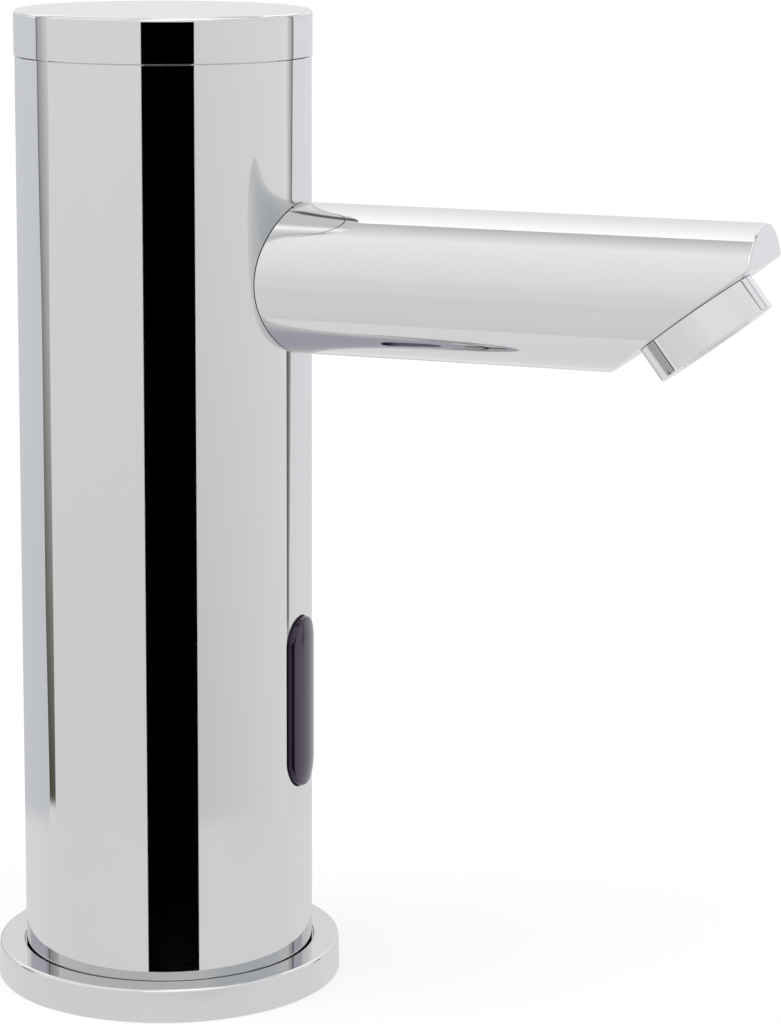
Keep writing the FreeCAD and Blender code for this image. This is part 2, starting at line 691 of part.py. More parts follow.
def sensor_board():
    """Circuit board in the sensor unit."""
    inner = SENSOR_W / 2 - SENSOR_WALL - 2 * FIT
    inset = SENSOR_WALL + 2 * FIT
    return box(SENSOR_BOARD_X, SENSOR_BOARD_X + BOARD_T, -inner, inner,
               SENSOR_Z0 + inset, SENSOR_Z1 - inset)


def eye(z):
    """Domed optical part that faces the lens."""
    x0 = SENSOR_BOARD_X + BOARD_T
    x1 = x0 + EYE_BASE
    dome = Part.makeSphere(EYE_R, vec(x1, 0, z))
    return union([bar(EYE_R, x0, x1, 0, z), dome.common(box(x1, x1 + EYE_R, -EYE_R, EYE_R,
                                                            z - EYE_R, z + EYE_R))])


def sensor_bracket():
    """Bent sheet that stands on the foot and carries the sensor unit."""
    half = BRACKET_W / 2
    plate = box(BRACKET_X, BRACKET_X + BRACKET_T, -half, half, FOOT_H + FIT, SENSOR_Z1)
    tab = box(BRACKET_X - BRACKET_TAB, BRACKET_X + BRACKET_T, -half, half,
              FOOT_H + FIT, FOOT_H + FIT + BRACKET_T)
    x, y = BRACKET_SCREW
    cutters = [rod(M3[1] + FIT, FOOT_H, FOOT_H + 2 * BRACKET_T, x, y)]
    for z in SENSOR_SCREW_ZS:
        cutters.append(bar(M2[1] + FIT, BRACKET_X - 1, BRACKET_X + BRACKET_T + 1, 0, z))
    return union([plate, tab]).cut(cutters)


def bracket_screw():
    """Screw that holds the bracket on the foot."""
    x, y = BRACKET_SCREW
    return screw_down(M3, x, y, FOOT_H + FIT + BRACKET_T, SCREW_BITE)


def sensor_screws():
    """Two small screws from the bracket into the sensor unit."""
    screws = []
    for z in SENSOR_SCREW_ZS:
        head = bar(M2[2], BRACKET_X - M2[3], BRACKET_X, 0, z)
        shank = bar(M2[1], BRACKET_X - 0.1, SENSOR_BACK + SENSOR_WALL, 0, z)
        screws.append(union([head, shank]))
    return Part.makeCompound(screws)


def inlet_housing():
    """Body of the strainer and non-return valve, plugged into the foot and screwed to it."""
    low = FOOT_H - INLET_SPIGOT_H
    top = INLET_Z + INLET_H
    pieces = [rod(INLET_R, INLET_Z, top, INLET_X), rod(INLET_SPIGOT_R, low, INLET_Z + 1, INLET_X)]
    for x, y in INLET_EARS:
        pieces.append(rod(INLET_EAR_R, INLET_Z, INLET_Z + INLET_EAR_T, x, y))
    cutters = [rod(INLET_BORE_R, low - 1, low + INLET_BORE_H, INLET_X)]
    cutters.append(rod(RISER_R - RISER_WALL, low, top + 1, INLET_X))
    cutters.append(rod(RISER_R + FIT, top - RISER_SEAT - FIT, top + 1, INLET_X))
    for x, y in INLET_EARS:
        cutters.append(rod(M3[1] + FIT, FOOT_H, INLET_Z + INLET_EAR_T + 1, x, y))
    return union(pieces).cut(cutters)


def inlet_screws():
    """Two screws through the housing's ears."""
    level = INLET_Z + INLET_EAR_T
    bite = SCREW_BITE + INLET_EAR_T / 2
    return Part.makeCompound([screw_down(M3, x, y, level, bite) for x, y in INLET_EARS])


def inlet_strainer():
    """Thimble with slots that keeps grit out of the valve."""
    r = INLET_BORE_R - FIT
    low = FOOT_H - INLET_SPIGOT_H
    high = low + STRAINER_H
    shape = rod(r, low, high, INLET_X).cut(
        rod(r - STRAINER_WALL, low - 1, high - STRAINER_WALL, INLET_X))
    half = STRAINER_SLOT_W / 2
    slot = box(0, r + 1, -half, half, low + 2 * STRAINER_WALL, high - 2 * STRAINER_WALL)
    cutters = []
    for i in range(STRAINER_SLOTS):
        one = slot.copy()
        one.rotate(vec(0, 0, 0), vec(0, 0, 1), 360.0 * i / STRAINER_SLOTS)
        one.translate(vec(INLET_X, 0, 0))
        cutters.append(one)
    hole = rod(half, high - 2 * STRAINER_WALL, high + 1, INLET_X)
    return shape.cut(cutters + [hole])


def check_body():
    """Cartridge of the non-return valve: a seat below and a three-legged guide above."""
    r = INLET_BORE_R - FIT
    top = CHECK_Z + CHECK_H
    shell = tube(r, r - CHECK_WALL, CHECK_Z, top, INLET_X)
    seat = tube(r - CHECK_WALL / 2, CHECK_SEAT_R, CHECK_Z, CHECK_Z + CHECK_SEAT_T, INLET_X)
    pieces = [shell, seat, rod(CHECK_HUB_R, top - CHECK_SPIDER_T, top, INLET_X)]
    half = CHECK_LEG_W / 2
    for i in range(3):
        leg = box(0, r - CHECK_WALL / 2, -half, half, top - CHECK_SPIDER_T, top)
        leg.rotate(vec(0, 0, 0), vec(0, 0, 1), 120.0 * i)
        leg.translate(vec(INLET_X, 0, 0))
        pieces.append(leg)
    return union(pieces).cut(rod(CHECK_GUIDE_R, top - 2 * CHECK_SPIDER_T, top + 1, INLET_X))


def check_poppet():
    """Disc that closes the seat, with a stem in the guide."""
    low = CHECK_Z + CHECK_SEAT_T + PISTON_REST
    stem_top = CHECK_Z + CHECK_H + ROOM
    disc = rod(POPPET_R, low, low + POPPET_T, INLET_X)
    return union([disc, rod(POPPET_STEM_R, low, stem_top, INLET_X)])


def check_spring():
    """Coil that holds the disc on its seat."""
    low = CHECK_Z + CHECK_SEAT_T + PISTON_REST + POPPET_T + FIT
    high = CHECK_Z + CHECK_H - CHECK_SPIDER_T - FIT
    return spring(CHECK_SPRING_R, low, high, CHECK_SPRING_TURNS, INLET_X)


def riser_pipe():
    """Pipe from the inlet housing to the solenoid valve."""
    low = INLET_Z + INLET_H - RISER_SEAT
    return tube(RISER_R, RISER_R - RISER_WALL, low, VALVE_Z + RISER_SEAT - FIT, INLET_X)


def valve_body():
    """Block with the ring-shaped inlet chamber, the seat and the outlet arm."""
    half = ARM_W / 2
    arm_end = OUTLET_X + NIPPLE_R + ROOM
    pieces = [rod(VALVE_R, VALVE_Z, VALVE_TOP, VALVE_X)]
    pieces.append(box(VALVE_X, arm_end, -half, half, VALVE_Z, VALVE_Z + ARM_H))
    for x, y in BONNET_EARS:
        pieces.append(rod(EAR_R, VALVE_TOP - EAR_H, VALVE_TOP, x, y))
    port_z = VALVE_Z + PORT_Z
    chamber = rod(CHAMBER_R, VALVE_TOP - CHAMBER_H, VALVE_TOP + 1, VALVE_X)
    seat = rod(SEAT_BORE_R + SEAT_WALL, VALVE_Z, SEAT_Z, VALVE_X)
    shape = union(pieces).cut(chamber)
    nipple = rod(NIPPLE_R, VALVE_Z + ARM_H - 1, VALVE_Z + ARM_H + NIPPLE_H, OUTLET_X)
    shape = union([shape, seat, nipple])
    cutters = [rod(RISER_R + FIT, VALVE_Z - 1, VALVE_Z + RISER_SEAT, INLET_X)]
    cutters.append(rod(VALVE_INLET_R, VALVE_Z, VALVE_TOP - CHAMBER_H + FIT, INLET_X))
    cutters.append(rod(SEAT_BORE_R, port_z - PORT_R - 3 * FIT, SEAT_Z + 1, VALVE_X))
    cutters.append(bar(PORT_R, VALVE_X, OUTLET_X + NIPPLE_BORE_R / 2, 0, port_z))
    cutters.append(rod(NIPPLE_BORE_R, port_z, VALVE_Z + ARM_H + NIPPLE_H + 1, OUTLET_X))
    for x, y in BONNET_EARS:
        cutters.append(rod(M2[1] + RUN, VALVE_TOP - EAR_H + 1, VALVE_TOP + 1, x, y))
    for x, y in VALVE_SCREWS:
        cutters.append(rod(M2[1] + RUN, VALVE_Z - 1, VALVE_Z + SCREW_BITE - 1, x, y))
    return shape.cut(cutters)


def valve_screws():
    """Two screws up through the carrier's shelf into the valve."""
    bite = SCREW_BITE - FIT
    return Part.makeCompound([screw_up(M2, x, y, SHELF_Z, bite) for x, y in VALVE_SCREWS])


def valve_bonnet():
    """Cover of the valve: the piston's cylinder below and the guide tube's seat above."""
    low = VALVE_TOP + FIT
    pieces = [rod(VALVE_R, low, BONNET_TOP, VALVE_X)]
    for x, y in BONNET_EARS:
        pieces.append(rod(EAR_R, low, low + BONNET_EAR_H, x, y))
    cylinder_top = PISTON_Z + PISTON_H + PISTON_LIFT + ROOM
    cutters = [rod(PISTON_R + RUN, low - 1, cylinder_top, VALVE_X)]
    cutters.append(rod(PLUNGER_R + GUIDE_WALL + RUN + FIT, low, BONNET_TOP + 1, VALVE_X))
    for x, y in BONNET_EARS:
        cutters.append(rod(M2[1] + FIT, VALVE_TOP, BONNET_TOP, x, y))
    return union(pieces).cut(cutters)


def bonnet_screws():
    """Four screws that clamp the cover on the valve."""
    level = VALVE_TOP + FIT + BONNET_EAR_H
    bite = BONNET_EAR_H + EAR_H / 2
    return Part.makeCompound([screw_down(M2, x, y, level, bite) for x, y in BONNET_EARS])


def valve_piston():
    """Main piston with the pilot bore through it and a groove for its seal."""
    shape = rod(PISTON_R, PISTON_Z, PISTON_Z + PISTON_H, VALVE_X)
    middle = SEAT_BORE_R + SEAT_WALL / 2
    half = PISTON_SEAL_WALL / 2
    groove = tube(middle + half + FIT, middle - half - FIT, PISTON_Z - 1,
                  PISTON_Z + PISTON_SEAL_T, VALVE_X)
    return shape.cut([groove, rod(PILOT_R, PISTON_Z - 1, PISTON_Z + PISTON_H + 1, VALVE_X)])


def piston_seal():
    """Rubber ring in the piston that closes on the seat."""
    middle = SEAT_BORE_R + SEAT_WALL / 2
    half = PISTON_SEAL_WALL / 2
    return tube(middle + half, middle - half, PISTON_Z, PISTON_Z + PISTON_SEAL_T, VALVE_X)


def valve_plunger():
    """Steel plunger that closes the pilot bore."""
    return rod(PLUNGER_R, PLUNGER_Z, PLUNGER_Z + PLUNGER_H, VALVE_X)


def plunger_spring():
    """Coil that pushes the plunger down."""
    high = GUIDE_END - GUIDE_TOP_T
    return spring(PLUNGER_SPRING_R, PLUNGER_Z + PLUNGER_H + FIT, high - FIT,
                  PLUNGER_SPRING_TURNS, VALVE_X)


def guide_tube():
    """Closed sleeve that the plunger slides in."""
    low = PISTON_Z + PISTON_H + PISTON_LIFT + ROOM + FIT
    inner = PLUNGER_R + RUN
    shape = rod(inner + GUIDE_WALL, low, GUIDE_END, VALVE_X)
    return shape.cut(rod(inner, low - 1, GUIDE_END - GUIDE_TOP_T, VALVE_X))


def coil_bobbin():
    """Plastic spool on the guide tube."""
    inner = PLUNGER_R + RUN + GUIDE_WALL + FIT
    wide = COIL_R + ROOM / 2
    top = COIL_Z + COIL_H
    low_flange = tube(wide, inner, COIL_Z, COIL_Z + BOBBIN_FLANGE_T, VALVE_X)
    high_flange = tube(wide, inner, top - BOBBIN_FLANGE_T, top, VALVE_X)
    return union([tube(inner + BOBBIN_WALL, inner, COIL_Z, top, VALVE_X), low_flange, high_flange])


def coil_winding():
    """Copper winding on the spool."""
    inner = PLUNGER_R + RUN + GUIDE_WALL + FIT + BOBBIN_WALL + FIT
    return tube(COIL_R, inner, COIL_Z + BOBBIN_FLANGE_T + FIT,
                COIL_Z + COIL_H - BOBBIN_FLANGE_T - FIT, VALVE_X)


def coil_yoke():
    """Steel bridge over the coil, from the cover up one side, across and down the other."""
    half = YOKE_W / 2
    inner = COIL_R + ROOM / 2 + FIT
    low = BONNET_TOP - ROOM
    top = COIL_Z + COIL_H + FIT
    outer = inner + YOKE_T
    shape = box(VALVE_X - half, VALVE_X + half, -outer, outer, low, top + YOKE_T)
    room = box(VALVE_X - half - 1, VALVE_X + half + 1, -inner, inner, low - 1, top)
    hole = rod(PLUNGER_R + GUIDE_WALL + RUN + FIT, top - 1, top + YOKE_T + 1, VALVE_X)
    cover = rod(VALVE_R + FIT, low - 1, BONNET_TOP + FIT, VALVE_X)
    return shape.cut([room, hole, cover])


def carrier():
    """Moulded half sleeve with a shelf for the valve, a shelf for the cells and two feet."""
    top = TOP_SHELF_Z + TOP_SHELF_T
    low = FOOT_H + FIT
    sleeve = Part.makeCylinder(CARRIER_R, top - low, vec(0, 0, low), vec(0, 0, 1), CARRIER_ARC)
    sleeve.rotate(vec(0, 0, 0), vec(0, 0, 1), 180 - CARRIER_ARC / 2)
    sleeve = sleeve.cut(rod(CARRIER_BORE, low - 1, top + 1))
    shelf_r = CARRIER_R - CARRIER_WALL / 4
    shelf = rod(shelf_r, SHELF_Z, SHELF_Z + SHELF_T)
    top_shelf = rod(shelf_r, TOP_SHELF_Z, top).common(
        box(-CARRIER_R, TOP_SHELF_FRONT, -CARRIER_R, CARRIER_R, TOP_SHELF_Z, top))
    pieces = [sleeve, shelf, top_shelf]
    for x, y in CARRIER_FEET:
        pieces.append(rod(CARRIER_FOOT_R, low, low + CARRIER_FOOT_T, x, y))
    board_end = CONTROL_W / 2
    for side in (1, -1):
        edges = sorted((side * (board_end - CONTROL_RAIL), side * (board_end + FIT)))
        pieces.append(box(CONTROL_X - 1, CONTROL_X + BOARD_T + 1, edges[0], edges[1],
                          SHELF_Z + SHELF_T / 2, SHELF_Z + SHELF_T + CONTROL_POST))
    lead_x = SENSOR_BOARD_X + BOARD_T / 2
    cutters = [rod(RISER_R + 3 * FIT, SHELF_Z - 1, SHELF_Z + SHELF_T + 1, INLET_X)]
    cutters.append(rod(LEAD_R + ROOM, SHELF_Z - 1, SHELF_Z + SHELF_T + 1, lead_x, CONNECTOR_Y))
    cutters.append(rod(LEAD_R + ROOM, TOP_SHELF_Z - 1, top + 1, BATTERY_LEAD_X, BATTERY_LEAD_Y))
    cutters.append(box(CONTROL_X - RUN, CONTROL_X + BOARD_T + RUN, -board_end - ROOM,
                       board_end + ROOM, SHELF_Z + SHELF_T, SHELF_Z + SHELF_T + 2 * CONTROL_POST))
    for x, y in CARRIER_FEET:
        cutters.append(rod(M3[1] + FIT, FOOT_H, low + CARRIER_FOOT_T + 1, x, y))
    for x, y in VALVE_SCREWS:
        cutters.append(rod(M2[1] + FIT, SHELF_Z - 1, SHELF_Z + SHELF_T + 1, x, y))
    for x, y in TRAY_SCREWS:
        cutters.append(rod(M2[1] + RUN, TOP_SHELF_Z - 1, top + 1, x, y))
    return union(pieces).cut(cutters)


def carrier_screws():
    """Two screws through the carrier's feet."""
    level = FOOT_H + FIT + CARRIER_FOOT_T
    bite = SCREW_BITE + CARRIER_FOOT_T / 2
    return Part.makeCompound([screw_down(M3, x, y, level, bite) for x, y in CARRIER_FEET])


def control_board():
    """Circuit board that stands in the slot of the valve's shelf."""
    half = CONTROL_W / 2 - FIT
    low = SHELF_Z + SHELF_T + FIT
    return box(CONTROL_X, CONTROL_X + BOARD_T, -half, half, low, low + CONTROL_H)


def board_chip():
    """Controller on the board's front."""
    x = CONTROL_X + BOARD_T
    z = SHELF_Z + SHELF_T + CONTROL_H / 2
    half = CHIP_W / 2
    return box(x, x + CHIP_T, -half, half, z - half, z + half)


def board_capacitor():
    """Reservoir capacitor that drives the latching coil."""
    low = SHELF_Z + SHELF_T + CONTROL_H / 2 - CAPACITOR_H / 2
    return rod(CAPACITOR_R, low, low + CAPACITOR_H,
               CONTROL_X + BOARD_T + CAPACITOR_R, CAPACITOR_Y)


def board_connector():
    """Socket for the sensor's lead on the board's back."""
    half = CONNECTOR_W / 2
    low = SHELF_Z + SHELF_T + CONNECTOR_RISE
    return box(CONTROL_X - CONNECTOR_T, CONTROL_X, CONNECTOR_Y - half, CONNECTOR_Y + half,
               low, low + CONNECTOR_H)


def sensor_lead():
    """Lead from the sensor board up to its socket."""
    x = SENSOR_BOARD_X + BOARD_T / 2
    low = SENSOR_Z1 - SENSOR_WALL - 2 * FIT
    return rod(LEAD_R, low, SHELF_Z + SHELF_T + CONNECTOR_RISE, x, CONNECTOR_Y)


def coil_lead():
    """Lead from the coil round the hose to the control board."""
    start = vec(VALVE_X + COIL_R * 0.8, COIL_R * 0.6, COIL_LEAD_Z) + vec(0.4, 0.3, 0)
    knee = vec(COIL_LEAD_KNEE, COIL_LEAD_Y, COIL_LEAD_Z)
    end = vec(CONTROL_X, COIL_LEAD_Y, COIL_LEAD_Z)
    return sweep(bent_path([start, knee, end], LEAD_BEND), LEAD_R)


def battery_lead():
    """Lead from the tray down past the spout's nut to the control board."""
    top = vec(BATTERY_LEAD_X, BATTERY_LEAD_Y, TRAY_Z)
    turn = vec(BATTERY_LEAD_X, BATTERY_LEAD_Y, BATTERY_LEAD_TURN_Z)
    knee = vec(BATTERY_LEAD_X, BATTERY_LEAD_END_Y, BATTERY_LEAD_END_Z)
    end = vec(CONTROL_X, BATTERY_LEAD_END_Y, BATTERY_LEAD_END_Z)
    return sweep(bent_path([top, turn, knee, end], LEAD_BEND), LEAD_R)


def battery_tray():
    """Moulded tray with a trough for each cell and end walls for the contacts."""
    half_x = CELL_PITCH / 2 + CELL_R + FIT
    inner_y = CELL_L / 2 + CELL_NUB_H + CONTACT_T + 2 * FIT
    outer_y = inner_y + TRAY_WALL
    shape = box(-half_x, half_x, -outer_y, outer_y, TRAY_Z, TRAY_Z + TRAY_RISE)
    cutters = []
    for side in (1, -1):
        x = side * CELL_PITCH / 2
        cutters.append(Part.makeCylinder(CELL_R + FIT, 2 * inner_y, vec(x, -inner_y, CELL_Z),
                                         vec(0, 1, 0)))
    cutters.append(box(-half_x - 1, half_x + 1, -inner_y, inner_y, CELL_Z, TRAY_Z + 2 * TRAY_RISE))
    for x, y in TRAY_SCREWS:
        cutters.append(rod(M2[1] + FIT, TRAY_Z - 1, CELL_Z, x, y))
        cutters.append(rod(M2[2] + FIT, TRAY_Z + TRAY_FLOOR, CELL_Z + 1, x, y))
    return shape.common(rod(CARRIER_R, TRAY_Z - 1, BODY_H)).cut(cutters)


def tray_screws():
    """Two screws between the troughs into the carrier's top shelf."""
    level = TRAY_Z + TRAY_FLOOR
    bite = TRAY_FLOOR + TOP_SHELF_T
    return Part.makeCompound([screw_down(M2, x, y, level, bite) for x, y in TRAY_SCREWS])


def battery_cell(side):
    """Lithium cell that lies across the column, with its nub at one end."""
    x = side * CELL_PITCH / 2
    body = Part.makeCylinder(CELL_R, CELL_L, vec(x, -CELL_L / 2, CELL_Z), vec(0, 1, 0))
    nub = Part.makeCylinder(CELL_NUB_R, CELL_L / 2 + CELL_NUB_H, vec(x, 0, CELL_Z),
                            vec(0, side, 0))
    return union([body, nub])


def battery_contacts():
    """Sheet contacts against the tray's end walls, one per cell end."""
    y0 = CELL_L / 2 + CELL_NUB_H + FIT
    half = CELL_R / 2
    plates = []
    for x in (-CELL_PITCH / 2, CELL_PITCH / 2):
        for edges in ((y0, y0 + CONTACT_T), (-y0 - CONTACT_T, -y0)):
            plates.append(box(x - half, x + half, edges[0], edges[1],
                              CELL_Z - CONTACT_H / 2, CELL_Z + CONTACT_H / 2))
    return Part.makeCompound(plates)


def build():
    """Every node of the tap by name."""
    return {
        "body_tube": body_tube(),
        "foot": foot(),
        "foot_screws": foot_screws(),
        "base_ring": base_ring(),
        "deck_gasket": deck_gasket(),
        "cap": cap(),
        "cap_o_ring": cap_o_ring(),
        "spout_tube": spout_tube(),
        "spout_spigot": spout_spigot(),
        "spout_nut": spout_nut(),
        "saddle_washer": saddle_washer(),
        "spout_waterway": spout_waterway(),
        "waterway_clip": waterway_clip(),
        "aerator_housing": aerator_housing(),
        "aerator_insert": aerator_insert(),
        "aerator_washer": aerator_washer(),
        "sensor_window": sensor_window(),
        "window_gasket": window_gasket(),
        "sensor_housing": sensor_housing(),
        "sensor_board": sensor_board(),
        "ir_emitter": eye(WINDOW_Z + EYE_SPREAD / 2),
        "ir_receiver": eye(WINDOW_Z - EYE_SPREAD / 2),
        "sensor_bracket": sensor_bracket(),
        "bracket_screw": bracket_screw(),
        "sensor_screws": sensor_screws(),
        "inlet_housing": inlet_housing(),
        "inlet_screws": inlet_screws(),
        "inlet_strainer": inlet_strainer(),
        "check_body": check_body(),
        "check_poppet": check_poppet(),
        "check_spring": check_spring(),
        "riser_pipe": riser_pipe(),
        "valve_body": valve_body(),
        "valve_screws": valve_screws(),
        "valve_bonnet": valve_bonnet(),
        "bonnet_screws": bonnet_screws(),
        "valve_piston": valve_piston(),
        "piston_seal": piston_seal(),
        "valve_plunger": valve_plunger(),
        "plunger_spring": plunger_spring(),
        "guide_tube": guide_tube(),
        "coil_bobbin": coil_bobbin(),
        "coil_winding": coil_winding(),
        "coil_yoke": coil_yoke(),
        "carrier": carrier(),
        "carrier_screws": carrier_screws(),
        "control_board": control_board(),
        "board_chip": board_chip(),
        "board_capacitor": board_capacitor(),
        "board_connector": board_connector(),
        "sensor_lead": sensor_lead(),
        "coil_lead": coil_lead(),
        "battery_lead": battery_lead(),
        "battery_tray": battery_tray(),
        "tray_screws": tray_screws(),
        "battery_cell_1": battery_cell(1),
        "battery_cell_2": battery_cell(-1),
        "battery_contacts": battery_contacts(),
    }


os.makedirs("parts", exist_ok=True)
for node, shape in build().items():
    shape.exportStep(f"parts/{node}.step")
    print(node, shape.ShapeType, len(shape.Solids), round(shape.Volume, 1), shape.isValid())
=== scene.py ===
import math

import bpy
import numpy as np
from mathutils import Matrix


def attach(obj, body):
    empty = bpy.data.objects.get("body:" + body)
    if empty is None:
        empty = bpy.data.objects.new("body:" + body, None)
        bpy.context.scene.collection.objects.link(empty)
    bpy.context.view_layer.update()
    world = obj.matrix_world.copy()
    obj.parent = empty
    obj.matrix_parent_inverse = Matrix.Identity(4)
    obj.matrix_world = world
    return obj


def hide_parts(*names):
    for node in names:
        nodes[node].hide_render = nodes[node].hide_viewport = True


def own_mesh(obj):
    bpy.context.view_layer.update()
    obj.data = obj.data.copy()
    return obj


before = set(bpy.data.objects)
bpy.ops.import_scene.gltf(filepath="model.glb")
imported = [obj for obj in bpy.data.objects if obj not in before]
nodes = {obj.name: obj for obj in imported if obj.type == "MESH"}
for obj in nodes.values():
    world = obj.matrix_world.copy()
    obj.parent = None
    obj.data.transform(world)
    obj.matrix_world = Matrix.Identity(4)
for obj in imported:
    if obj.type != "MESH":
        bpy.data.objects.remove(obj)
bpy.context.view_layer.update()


# ---------------------------------------------------------------- camera
# The tap stands square to the frame with the spout to the right. The lens is long and looks a
# little down on it, from 24 degrees to the right of the front.
STAND_OFF = 0.637443
CAMERA_SIDE = math.radians(24.028)
CAMERA_HEIGHT = 0.22387
CAMERA_TURN, CAMERA_TILT, CAMERA_ROLL = [math.radians(a) for a in (20.153, 80.789, 0.201)]
lens = bpy.data.cameras.new("camera")
lens.lens = 118.21
lens.sensor_width = 36.0
lens.shift_y = -0.1484
lens.clip_start = 0.05
lens.clip_end = 50.0
camera = bpy.data.objects.new("camera", lens)
camera.matrix_world = (
    Matrix.Translation((STAND_OFF * math.sin(CAMERA_SIDE),
                        -STAND_OFF * math.cos(CAMERA_SIDE), CAMERA_HEIGHT))
    @ Matrix.Rotation(CAMERA_TURN, 4, "Z")
    @ Matrix.Rotation(CAMERA_TILT, 4, "X")
    @ Matrix.Rotation(CAMERA_ROLL, 4, "Z"))
bpy.context.scene.collection.objects.link(camera)
bpy.context.scene.camera = camera
bpy.context.scene.view_settings.view_transform = "Standard"


# ---------------------------------------------------------------- studio
# Polished metal shows only what stands round it, so the tap is lit as a product photographer lights
# chrome: inside a white tent, with dark seams where the tent's panels meet, and a slot that the
# lens looks in by. The slot is a painted dark reflection: it shows black only in some pieces.
class Signal:
    """One output socket. The operators add Math nodes to the material it belongs to."""

    def __init__(self, finish, socket):
        self.finish, self.socket = finish, socket

    def __add__(self, other):
        return self.finish.maths("ADD", self, other)

    def __sub__(self, other):
        return self.finish.maths("SUBTRACT", self, other)

    def __rsub__(self, other):
        return self.finish.maths("SUBTRACT", other, self)

    def __mul__(self, other):
        return self.finish.maths("MULTIPLY", self, other)

    __radd__, __rmul__ = __add__, __mul__


class Finish:
    """A node tree of a material or of the world. The shader's own sockets take the values that
    are the same all over, and links bring in what varies."""

    def __init__(self, name, owner=None, **values):
        self.owner = owner or bpy.data.materials.new(name)
        self.owner.use_nodes = True
        self.tree = self.owner.node_tree
        self.shader = self.tree.nodes.get("Principled BSDF") or self.tree.nodes.get("Background")
        for socket, value in values.items():
            self.give(socket.replace("_", " "), value)

    def plug(self, socket, value):
        if isinstance(value, Signal):
            self.tree.links.new(value.socket, socket)
        else:
            socket.default_value = value

    def give(self, socket, value):
        self.plug(self.shader.inputs[socket], value)

    def node(self, kind, settings=None, sockets=None, out=0):
        """A new node's output. The stops setting is a colour ramp's places and colours."""
        made = self.tree.nodes.new("ShaderNode" + kind)
        for key, value in (settings or {}).items():
            if key == "stops":
                places = made.color_ramp.elements
                while len(places) < len(value):
                    places.new(0.5)
                for place, (where, colour) in zip(places, value):
                    place.position = where
                    place.color = (*colour, 1.0)
            else:
                setattr(made, key, value)
        for key, value in (sockets or {}).items():
            self.plug(made.inputs[key], value)
        return Signal(self, made.outputs[out])

    def maths(self, operation, first, second=0.0):
        return self.node("Math", {"operation": operation}, {0: first, 1: second})

    def vector(self, operation, first, second=(0.0, 0.0, 0.0)):
        return self.node("VectorMath", {"operation": operation}, {0: first, 1: second})

    def blend(self, amount, low, high):
        """Mix of two colours; a colour is a link or three numbers."""
        ends = [c if isinstance(c, Signal) else (*c, 1.0) for c in (low, high)]
        return self.node("Mix", {"data_type": "RGBA"}, {0: amount, 6: ends[0], 7: ends[1]}, out=2)

    def steps(self, value, low, high):
        """0 up to the first end, 1 past the second, straight between; either end may be higher."""
        return self.node("MapRange", {"clamp": True}, {0: value, 1: low, 2: high})

    def place(self, scale=(1.0, 1.0, 1.0)):
        """The piece's own coordinates in metres, stretched by scale."""
        return self.vector("MULTIPLY", self.node("TexCoord", out=3), scale)

    def along(self, axis):
        """The piece's own coordinate along one axis, in millimetres."""
        return self.node("SeparateXYZ", {}, {0: self.place((1000.0, 1000.0, 1000.0))}, out=axis)

    def noise(self, where, scale, detail=3.0, rough=0.55):
        return self.node("TexNoise", {}, {"Vector": where, "Scale": scale, "Detail": detail,
                                          "Roughness": rough})

    def relief(self, height, depth):
        """Bump of the given depth in metres."""
        self.give("Normal", self.node("Bump", {}, {"Height": height, "Distance": depth,
                                                   "Strength": 1.0}))

    def wear(self, *pieces):
        for piece in pieces:
            if len(piece.data.materials):
                for number in range(len(piece.data.materials)):
                    piece.material_slots[number].material = self.owner
            else:
                piece.data.materials.append(self.owner)


def skin(name, sheets, finish=None, body="tap", replaces=()):
    """One mesh out of sheets. A sheet is a grid of points (rows, columns, 3) in millimetres, the
    outward normals, spread over that grid, and, where some are left out, the cells to keep.
    Every cell is turned to agree with its normals, points that meet are made one, a cell whose
    corners meet loses them, and each corner keeps its own sheet's normal, so a sharp edge between
    two sheets stays sharp and a round within one stays smooth."""
    spots, looks, cells, base = [], [], [], 0
    for sheet in sheets:
        points, normals = sheet[0], np.broadcast_to(sheet[1], sheet[0].shape)
        rows, columns = points.shape[:2]
        number = base + np.arange(rows * columns).reshape(rows, columns)
        cell = np.stack([number[:-1, :-1], number[1:, :-1], number[1:, 1:], number[:-1, 1:]], -1)
        if len(sheet) > 2:
            cell = cell[sheet[2]]
        spots.append(points.reshape(-1, 3))
        looks.append(normals.reshape(-1, 3))
        cells.append(cell.reshape(-1, 4))
        base += rows * columns
    spots, looks, cells = map(np.concatenate, (spots, looks, cells))
    corner = spots[cells]
    facing = np.cross(corner[:, 2] - corner[:, 0], corner[:, 3] - corner[:, 1])
    inward = (facing * looks[cells].sum(axis=1)).sum(axis=1) < 0
    cells[inward] = cells[inward][:, ::-1]
    _, first, same = np.unique(np.round(spots * 1e4 + 0.37).astype(np.int64), axis=0,
                               return_index=True, return_inverse=True)
    met = same.reshape(-1)[cells]
    fresh = met != np.roll(met, 1, axis=1)
    sides = fresh.sum(axis=1)
    good = (sides >= 3) & (met[:, 0] != met[:, 2]) & (met[:, 1] != met[:, 3])
    fresh, sides = fresh[good], sides[good]
    mesh = bpy.data.meshes.new(name)
    mesh.vertices.add(len(first))
    mesh.vertices.foreach_set("co", (spots[first] * 0.001).ravel())
    corners = met[good][fresh]
    mesh.loops.add(len(corners))
    mesh.loops.foreach_set("vertex_index", corners)
    mesh.polygons.add(len(sides))
    mesh.polygons.foreach_set("loop_start", np.concatenate([[0], np.cumsum(sides)[:-1]]))
    mesh.polygons.foreach_set("use_smooth", np.ones(len(sides), bool))
    mesh.update(calc_edges=True)
    look = looks[cells[good]][fresh]
    look = look / np.maximum(np.linalg.norm(look, axis=1, keepdims=True), 1e-9)
    mesh.normals_split_custom_set(look.tolist())
    piece = bpy.data.objects.new(name, mesh)
    bpy.context.scene.collection.objects.link(piece)
    if finish:
        finish.wear(piece)
    if body:
        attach(piece, body)
    if replaces:
        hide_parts(*replaces)
    return piece


